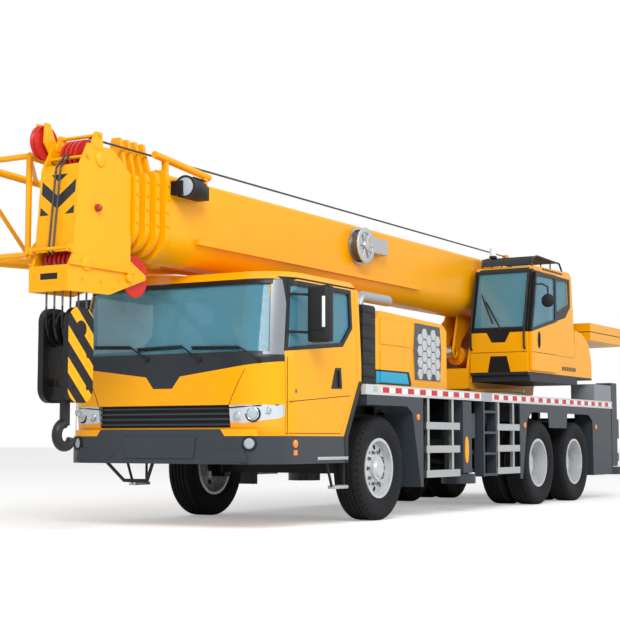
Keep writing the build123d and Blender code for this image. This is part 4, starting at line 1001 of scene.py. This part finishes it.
# Operator's roof guard and front rails, (ahead, z), where they stand across, the visor, and the seams
GUARD = ((-4.42, 3.13), (-4.44, 3.25), (-4.62, 3.29), (-5.45, 3.27), (-5.56, 3.16))
GUARD_Y = (0.42, 1.13)
VISOR = ((-4.36, 0.44, 3.15), (-4.36, 1.11, 3.15), (-4.45, 1.11, 3.25), (-4.45, 0.44, 3.25))
RAIL = ((-4.09, 2.02), (-4.06, 2.05), (-4.06, 2.30), (-4.255, 3.02), (-4.29, 3.03))
RAIL_Y = (0.40, 1.15)
SEAM_Z = 1.98
SEAM_R = 0.0035
# Beacon's place, foot and dome
BEACON = (-4.56, 0.52, 3.29)
BEACON_FOOT = [(0, 0.0), (0, 0.055), (0.02, 0.055), (0.02, 0.045), (0.03, 0.045)]
BEACON_DOME = [(0.03, 0.045), (0.13, 0.045), (0.142, 0.038), (0.145, 0.0)]
# Round mirror's place, arm, back and glass
ROUND_MIRROR = (-4.40, 1.36, 2.66)
MIRROR_ARM = [(-4.30, 1.15, 2.88), (-4.36, 1.30, 2.88), (-4.40, 1.36, 2.84), (-4.40, 1.36, 2.70)]
MIRROR_BACK = [(-0.03, 0.0), (-0.028, 0.05), (-0.012, 0.088), (0.0, 0.09), (0.0, 0.082)]
MIRROR_GLASS = [(0.0, 0.083), (0.004, 0.05), (0.006, 0.0)]


class CRANE_OT_operator_cab(bpy.types.Operator):
    """Makes the operator's roof guard, visor, beacon, wiper, rails, vents and seat"""

    bl_idname = "crane.operator_cab"
    bl_label = "Make Operator Cab"

    def execute(self, context):
        mesh = bmesh.new()
        for y in GUARD_Y:
            bent_rod(mesh, [(ahead, y, z) for ahead, z in GUARD], 0.013)
            for ahead in (-4.75, -5.1):
                rod(mesh, (ahead, y, 3.13), (ahead, y, 3.28), 0.01)
        for k in range(8):
            ahead = -4.62 - 0.115 * k
            block(mesh, (ahead - 0.03, GUARD_Y[0], 3.278), (ahead + 0.03, GUARD_Y[1], 3.29), 0.004)
        slab(mesh, VISOR, (-0.012, 0, 0.008))
        piece("roof_guard", mesh, "turntable", ["black"])
        mesh = bmesh.new()
        turned(mesh, BEACON_FOOT, BEACON, (0, 0, 1), 24, 1)
        turned(mesh, BEACON_DOME, BEACON, (0, 0, 1), 24, 0)
        piece("beacon", mesh, "turntable", ["white", "black"])
        mesh = bmesh.new()
        bent_rod(mesh, [(-4.088, 0.806, 2.275), (-4.105, 0.781, 2.335), (-4.19, 0.57, 2.663)], 0.009)
        rod(mesh, (-4.098, 0.70, 2.36), (-4.215, 0.50, 2.76), 0.008, 6)
        turned(mesh, [(0, 0.022), (0.02, 0.02), (0.024, 0)], (-4.10, 0.806, 2.275), (1, 0, 0), 12)
        for y in RAIL_Y:
            bent_rod(mesh, [(ahead, y, z) for ahead, z in RAIL], 0.014)
        piece("operator_wiper_and_rails", mesh, "turntable", ["plastic"])
        mesh = bmesh.new()
        oval(mesh, [(0, 0.045), (0.006, 0.043), (0.008, 0.0)], 2.6, (-4.413, 1.221, 2.146))
        rod(mesh, (-4.413, 1.232, 2.06), (-4.413, 1.232, 2.235), 0.012)
        rod(mesh, (-4.17, 1.222, SEAM_Z), (-5.07, 1.222, SEAM_Z), SEAM_R, 6)
        piece("operator_door_handle", mesh, "operator_door", ["black"])
        mesh = bmesh.new()
        for k in range(9):
            ahead = -5.36 - 0.062 * k
            block(mesh, (ahead - 0.045, 1.17, 1.785), (ahead, 1.181, 1.84), 0.001)
        rod(mesh, (-4.1045, 0.38, SEAM_Z), (-4.1045, 1.175, SEAM_Z), SEAM_R, 6)
        rod(mesh, (-5.09, 1.1775, SEAM_Z), (-5.88, 1.1775, SEAM_Z), SEAM_R, 6)
        piece("operator_vents", mesh, "turntable", ["black"])
        mesh = bmesh.new()
        for k in range(9):
            ahead = -4.68 - 0.085 * k
            block(mesh, (ahead - 0.06, 1.172, 3.105), (ahead, 1.186, 3.13), 0.003)
        piece("roof_louvre", mesh, "turntable", ["black"])
        mesh = bmesh.new()
        bent_rod(mesh, MIRROR_ARM, 0.011)
        for finish, profile in enumerate((MIRROR_BACK, MIRROR_GLASS)):
            turned(mesh, profile, ROUND_MIRROR, (-1, 0, 0), 32, finish)
        piece("operator_mirror", mesh, "turntable", ["plastic", "mirror"])
        cushion("operator_seat", (-5.41, 0.53, 2.045), (-4.83, 1.03, 2.20), "turntable", 0.2, 2)
        cushion("operator_back", (-5.50, 0.55, 2.13), (-5.335, 1.01, 2.83), "turntable", 0.2, 0)
        return {"FINISHED"}


# Boom sections with a collar: body, how far ahead the collar is, and how much each is smaller
COLLARS = (("boom_base", 2.61), ("boom_2", 2.725), ("boom_3", 2.84), ("boom_4", 2.955))
COLLAR_STEP = 0.03
BOLT_R = 0.014
# Rope along the boom: its place across, its height, and where the lowest section's span starts
ROPE_Y = 0.1
ROPE_Z = 3.5
ROPE_START = -6.0
# Boom lamp's place, aim, drum and lens
BOOM_LAMP = (2.19, 0.41, 3.185)
LAMP_AIM = (1, 0.12, 0)
LAMP_DRUM = [
    (0, 0.0), (0, 0.075), (0.06, 0.098), (0.24, 0.098), (0.28, 0.085), (0.28, 0.105), (0.34, 0.108),
    (0.34, 0.088),
]
LAMP_LENS = [(0.335, 0.088), (0.345, 0.06), (0.35, 0.0)]
# Cable reel's place, hub and the radius where its spokes start and end
REEL = (-1.08, 0.31, 3.06)
REEL_HUB = [(0.112, 0.0), (0.14, 0.0), (0.14, 0.05), (0.112, 0.06)]
SPOKE = (0.04, 0.165)
# Tubes' brackets on the boom's top, and the luff cylinder's gland along its line
TUBE_FEET = ((1.80, 3.40), (2.45, 3.46))
RAM_BASE = (-6.25, 0.0, 1.74)
RAM_LINE = (2.0, 0.0, 0.27)
GLAND = [(1.79, 0.0605), (1.79, 0.11), (1.822, 0.11), (1.826, 0.067), (1.922, 0.067), (1.922, 0.0605)]


class CRANE_OT_boom(bpy.types.Operator):
    """Makes the boom's lamp, cable reel, top tubes, gland, collar bolts with guides, and ropes"""

    bl_idname = "crane.boom"
    bl_label = "Make Boom Fittings"

    def execute(self, context):
        mesh = bmesh.new()
        for finish, profile in enumerate((LAMP_DRUM, LAMP_LENS)):
            turned(mesh, profile, BOOM_LAMP, LAMP_AIM, 24, finish)
        for k in range(7):
            rod(mesh, (2.19, 0.34 + 0.02 * k, 3.285), (2.44, 0.34 + 0.024 * k, 3.285), 0.006, 6)
        piece("boom_lamp", mesh, "boom_base", ["plastic", "lens"])
        mesh = bmesh.new()
        for start in (0.004, 0.108):
            rim = [(0.0, 0.15), (0.0, 0.205), (0.014, 0.21), (0.018, 0.2), (0.014, 0.15)]
            turned(mesh, [(start + along, radius) for along, radius in rim], REEL, (0, 1, 0), 40, closed=True)
        turned(mesh, REEL_HUB, REEL, (0, 1, 0), 24)
        for k in range(6):
            turn = tau * k / 6
            ends = [(REEL[0] + radius * cos(turn), 0.428, REEL[2] + radius * sin(turn)) for radius in SPOKE]
            rod(mesh, *ends, 0.01, 6)
        coil = []
        for k in range(7):
            start = 0.024 + 0.012 * k
            coil += [(start, 0.184), (start + 0.006, 0.19)]
        turned(mesh, coil + [(0.108, 0.184)], REEL, (0, 1, 0), 40, 1)
        piece("cable_reel", mesh, "boom_base", ["aluminium", "plastic"])
        mesh = bmesh.new()
        rod(mesh, (1.72, 0.165, 3.42), (2.62, 0.165, 3.50), 0.036, 14)
        for ahead, z in TUBE_FEET:
            block(mesh, (ahead - 0.02, 0.135, 3.30), (ahead + 0.02, 0.195, z), 0.004)
        block(mesh, (-6.04, 0.06, 3.28), (-5.98, 0.14, 3.525), 0.006)
        rod(mesh, (-6.01, 0.05, 3.47), (-6.01, 0.15, 3.47), 0.02, 12)
        rod(mesh, (-5.6, -0.17, 3.33), (1.5, -0.17, 3.33), 0.022, 10)
        for k in range(7):
            block(mesh, (-5.2 + k - 0.02, -0.2, 3.3), (-5.2 + k + 0.02, -0.14, 3.345), 0.004)
        piece("boom_top_tubes", mesh, "boom_base", ["yellow"])
        mesh = bmesh.new()
        turned(mesh, GLAND, RAM_BASE, RAM_LINE, 32, closed=True)
        piece("ram_gland", mesh, "luff_barrel", ["yellow"])
        for number, (body, ahead) in enumerate(COLLARS):
            mesh = bmesh.new()
            half = 0.34 - COLLAR_STEP * number
            bolt = ahead + 0.03
            for side in BOTH:
                for z in (2.80, 2.93, 3.06, 3.19):
                    rod(mesh, (bolt, side * (half - 0.004), z), (bolt, side * (half + 0.016), z), BOLT_R, 6)
            top = 3.333 - COLLAR_STEP * number
            for y in (-0.2, 0.2):
                rod(mesh, (bolt, y, top - 0.004), (bolt, y, top + 0.016), BOLT_R, 6)
            left = [(0.125, top - 0.01), (0.07, 3.5), (0.045, 3.605)]
            right = [(-y, z) for y, z in reversed(left)]
            slab(mesh, [(ahead + 0.004, y, z) for y, z in right[-1:] + left + right[:-1]], (0.04, 0, 0))
            rod(mesh, (ahead - 0.012, 0.0, 3.44), (ahead + 0.058, 0.0, 3.44), 0.03, 12)
            piece(f"{body}_guide", mesh, body, ["yellow"])
        settings = context.scene.crane_paint
        spans = COLLARS + (("boom_5", 3.47),)
        for number, (body, ahead) in enumerate(spans):
            mesh = bmesh.new()
            ends = [(x, ROPE_Y, ROPE_Z) for x in (ROPE_START + 0.25 * number, ahead + 0.03)]
            rod(mesh, *ends, settings.rope + 0.0004 * number, 8)
            piece(f"{body}_rope", mesh, body, ["rope"])
        return {"FINISHED"}


# Sheave's outline with a radius of 1, and each small sheave's place, radius and share of the width
SHEAVE = [
    (-0.014, 0.05), (-0.014, 0.82), (-0.03, 0.9), (-0.03, 1.0), (-0.018, 1.0), (0.0, 0.86), (0.018, 1.0),
    (0.03, 1.0), (0.03, 0.9), (0.014, 0.82), (0.014, 0.05),
]
SMALL_SHEAVES = ((3.68, -0.26, 3.46, 0.155, 1.0), (2.93, 0.1828, 2.31, 0.19, 0.2))
# Lugs on the head's plates, (ahead, z), and the faces between which they lie
LUGS = (
    [(3.44, 3.39), (3.46, 3.54), (3.54, 3.54), (3.60, 3.39)],
    [(3.77, 2.43), (3.90, 2.44), (3.90, 2.50), (3.77, 2.52)],
)
LUG_IN = 0.187
LUG_OUT = 0.218
SHEAVE_ARM = [(3.42, 3.30), (3.62, 3.30), (3.74, 3.45), (3.73, 3.63), (3.66, 3.63), (3.58, 3.47)]
HEAD_BARS = ((3.50, 3.515), (3.66, 3.30), (3.885, 2.47))
# Pins through the head and the block, with flat caps
HEAD_PINS = ((3.65, 2.36), (3.48, 3.30))
HEAD_PIN = [(0, 0.07), (0.014, 0.066), (0.02, 0.04), (0.02, 0.0)]
BLOCK_FACE = 0.168
BLOCK_PIN = [(0, 0.075), (0.004, 0.07), (0.0055, 0.045), (0.0055, 0.0)]
SLOT = ((-0.085, 2.204), (0.105, 2.204), (0.105, 2.258), (-0.085, 2.258))
HEAD_LAMP = [(0, 0.035), (0.03, 0.034), (0.05, 0.02), (0.054, 0.0)]


class CRANE_OT_head(bpy.types.Operator):
    """Makes the small sheaves, bars, ropes and lamp on the boom's head, and the hook block's bolts"""

    bl_idname = "crane.head"
    bl_label = "Make Boom Head"

    def execute(self, context):
        mesh = bmesh.new()
        for ahead, across, z, size, width in SMALL_SHEAVES:
            wheel = [(along * width, radius * size) for along, radius in SHEAVE]
            turned(mesh, wheel, (ahead, across, z), (0, 1, 0), 40)
            pin = [(ahead, across + 0.05 * reach, z) for reach in (-(width**2), width)]
            rod(mesh, *pin, 0.025, 12, 1)
        piece("small_sheaves", mesh, "boom_5", ["sheave", "steel"])
        mesh = bmesh.new()
        for across in (-0.305, -0.215):
            side_slab(mesh, SHEAVE_ARM, across - 0.008, across + 0.008)
        rod(mesh, (3.45, -0.31, 3.33), (3.45, -0.18, 3.33), 0.03, 12)
        for ahead, z in HEAD_BARS:
            rod(mesh, (ahead, -0.235, z), (ahead, 0.235, z), 0.017, 10)
        for side in BOTH:
            for lug in LUGS:
                side_slab(mesh, lug, side * LUG_IN, side * LUG_OUT)
        block(mesh, (3.30, -0.235, 2.335), (3.885, -0.205, 2.355), 0.004)
        block(mesh, (3.00, 0.205, 2.325), (3.885, 0.24, 2.345), 0.004)
        for side in BOTH:
            for ahead, z in HEAD_PINS:
                turned(mesh, HEAD_PIN, (ahead, side * 0.214, z), (0, side, 0), 24)
        for ahead, z in ((3.2, 2.25), (3.45, 2.22), (3.7, 2.22)):
            rod(mesh, (ahead, 0.213, z), (ahead, 0.226, z), BOLT_R, 6)
        piece("head_bars", mesh, "boom_5", ["yellow"])
        mesh = bmesh.new()
        slab(mesh, [(3.893, y, z) for y, z in SLOT], (0.008, 0, 0))
        piece("head_slot", mesh, "boom_5", ["black"])
        mesh = bmesh.new()
        turned(mesh, HEAD_LAMP, (3.515, 0.213, 2.861), (0, 1, 0), 20)
        piece("head_lamp", mesh, "boom_5", ["red_lamp"])
        mesh = bmesh.new()
        for across in (-0.025, 0.025):
            bent_rod(mesh, [(3.66, across, 3.34), (3.785, across, 3.2), (3.872, across, 2.42)], 0.009)
        piece("head_ropes", mesh, "boom_5", ["rope"])
        mesh = bmesh.new()
        for side in BOTH:
            turned(mesh, BLOCK_PIN, (3.65, side * BLOCK_FACE, 1.79), (0, side, 0), 24)
            for z in (1.28, 1.56):
                for ahead in (3.56, 3.74):
                    rod(mesh, (ahead, side * BLOCK_FACE, z), (ahead, side * 0.1738, z), 0.02, 6)
        piece("block_bolts", mesh, "hook_block", ["black"])
        return {"FINISHED"}


# Winch's middle, the rope's half width on it, and one turn's outline
DRUM = (-7.62, 0.0, 2.79)
WOUND_HALF = 0.296
TURN_PITCH = 0.0245
TURN = ((0.0, 0.176), (0.006, 0.186), (0.0122, 0.189), (0.0184, 0.186))


class CRANE_OT_winch(bpy.types.Operator):
    """Makes the rope that is wound on the winch"""

    bl_idname = "crane.winch"
    bl_label = "Make Winch Rope"

    def execute(self, context):
        mesh = bmesh.new()
        outline = [(-WOUND_HALF, 0.151)]
        for k in range(24):
            outline += [(-0.294 + TURN_PITCH * k + along, radius) for along, radius in TURN]
        outline += [(WOUND_HALF, 0.176), (WOUND_HALF, 0.151)]
        turned(mesh, outline, DRUM, (0, 1, 0), 40, closed=True)
        piece("winch_rope", mesh, "winch", ["rope"], 1.2)
        return {"FINISHED"}


# Camera's place and aim, fitted to the photo, in metres and radians
CAMERA = (13.2111, 8.0888, 0.825)
YAW = 0.5317
PITCH = 0.0917
SENSOR_MM = 36.0
# Floor's half size, how much brighter the camera sees it, and the side light's share of the key's power
FLOOR_HALF = 120
FLOOR_LIFT = 0.3
FILL_SHARE = 0.28


class CRANE_OT_stage(bpy.types.Operator):
    """Makes the floor, the lights and the camera"""

    bl_idname = "crane.stage"
    bl_label = "Make Stage"

    def execute(self, context):
        settings = context.scene.crane_stage
        scene = context.scene
        scene.view_settings.view_transform = "Standard"
        mesh = bmesh.new()
        bmesh.ops.create_grid(mesh, x_segments=1, y_segments=1, size=FLOOR_HALF)
        floor = bpy.data.objects.new("studio_floor", bpy.data.meshes.new("studio_floor"))
        mesh.to_mesh(floor.data)
        mesh.free()
        scene.collection.objects.link(floor)
        material, tree, shader, _ = start_material("white studio floor")
        seen = add(tree, "ShaderNodeLightPath").outputs["Is Camera Ray"]
        set_shader(
            tree, shader, Base_Color=linear("F4F4F4"), Roughness=0.9, Emission_Color=(1, 1, 1, 1),
            Emission_Strength=reckon(tree, "MULTIPLY", seen, FLOOR_LIFT),
        )
        floor.data.materials.append(material)
        world = bpy.data.worlds.new("soft studio sky")
        scene.world = world
        world.use_nodes = True
        tree = world.node_tree
        back = tree.nodes["Background"]
        rays = add(tree, "ShaderNodeLightPath").outputs
        seen = reckon(tree, "MAXIMUM", rays["Is Camera Ray"], rays["Is Glossy Ray"])
        seen = reckon(tree, "MAXIMUM", seen, rays["Is Transmission Ray"])
        set_shader(tree, back, Strength=between(tree, seen, settings.sky, 1.0), Color=(1, 1, 1, 1))
        for name, place, aim, power, size in (
            ("front_key", (14, 9, 12), (0, 0, 1.5), settings.key, 8),
            ("side_fill", (-4, 15, 8), (-2, 0, 1.5), settings.key * FILL_SHARE, 9),
        ):
            lamp = bpy.data.lights.new(name, "AREA")
            lamp.energy, lamp.size = power, size
            obj = bpy.data.objects.new(name, lamp)
            scene.collection.objects.link(obj)
            obj.location = place
            obj.rotation_euler = (Vector(aim) - Vector(place)).to_track_quat("-Z", "Y").to_euler()
        camera = bpy.data.objects.new("camera", bpy.data.cameras.new("camera"))
        scene.collection.objects.link(camera)
        camera.data.lens, camera.data.sensor_width = settings.lens, SENSOR_MM
        camera.location = spot(CAMERA)
        look = Vector((-cos(YAW) * cos(PITCH), -sin(YAW) * cos(PITCH), sin(PITCH)))
        camera.rotation_euler = look.to_track_quat("-Z", "Y").to_euler()
        camera.data.clip_end = 500
        scene.camera = camera
        return {"FINISHED"}


class CRANE_PT_panel(bpy.types.Panel):
    """Lists the crane's steps"""

    bl_idname = "CRANE_PT_panel"
    bl_label = "Truck Crane"
    bl_space_type = "VIEW_3D"
    bl_region_type = "UI"
    bl_category = "Crane"

    def draw(self, context):
        for step in STEPS:
            self.layout.operator(step.bl_idname)
        for name in ("yellow", "slate", "rope"):
            self.layout.prop(context.scene.crane_paint, name)
        for name in ("lens", "key", "sky"):
            self.layout.prop(context.scene.crane_stage, name)


STEPS = (
    CRANE_OT_paint, CRANE_OT_wheels, CRANE_OT_cab_front, CRANE_OT_doors, CRANE_OT_cab_inside,
    CRANE_OT_hood, CRANE_OT_chassis_trim, CRANE_OT_operator_cab, CRANE_OT_boom, CRANE_OT_head,
    CRANE_OT_winch, CRANE_OT_stage,
)
CLASSES = (CranePaint, CraneStage) + STEPS + (CRANE_PT_panel,)


def register():
    for cls in CLASSES:
        bpy.utils.register_class(cls)
    bpy.types.Scene.crane_paint = bpy.props.PointerProperty(type=CranePaint)
    bpy.types.Scene.crane_stage = bpy.props.PointerProperty(type=CraneStage)


def unregister():
    del bpy.types.Scene.crane_stage
    del bpy.types.Scene.crane_paint
    for cls in reversed(CLASSES):
        bpy.utils.unregister_class(cls)


def main():
    register()
    for step in STEPS:
        group, name = step.bl_idname.split(".")
        getattr(getattr(bpy.ops, group), name)()


if __name__ == "__main__":
    main()
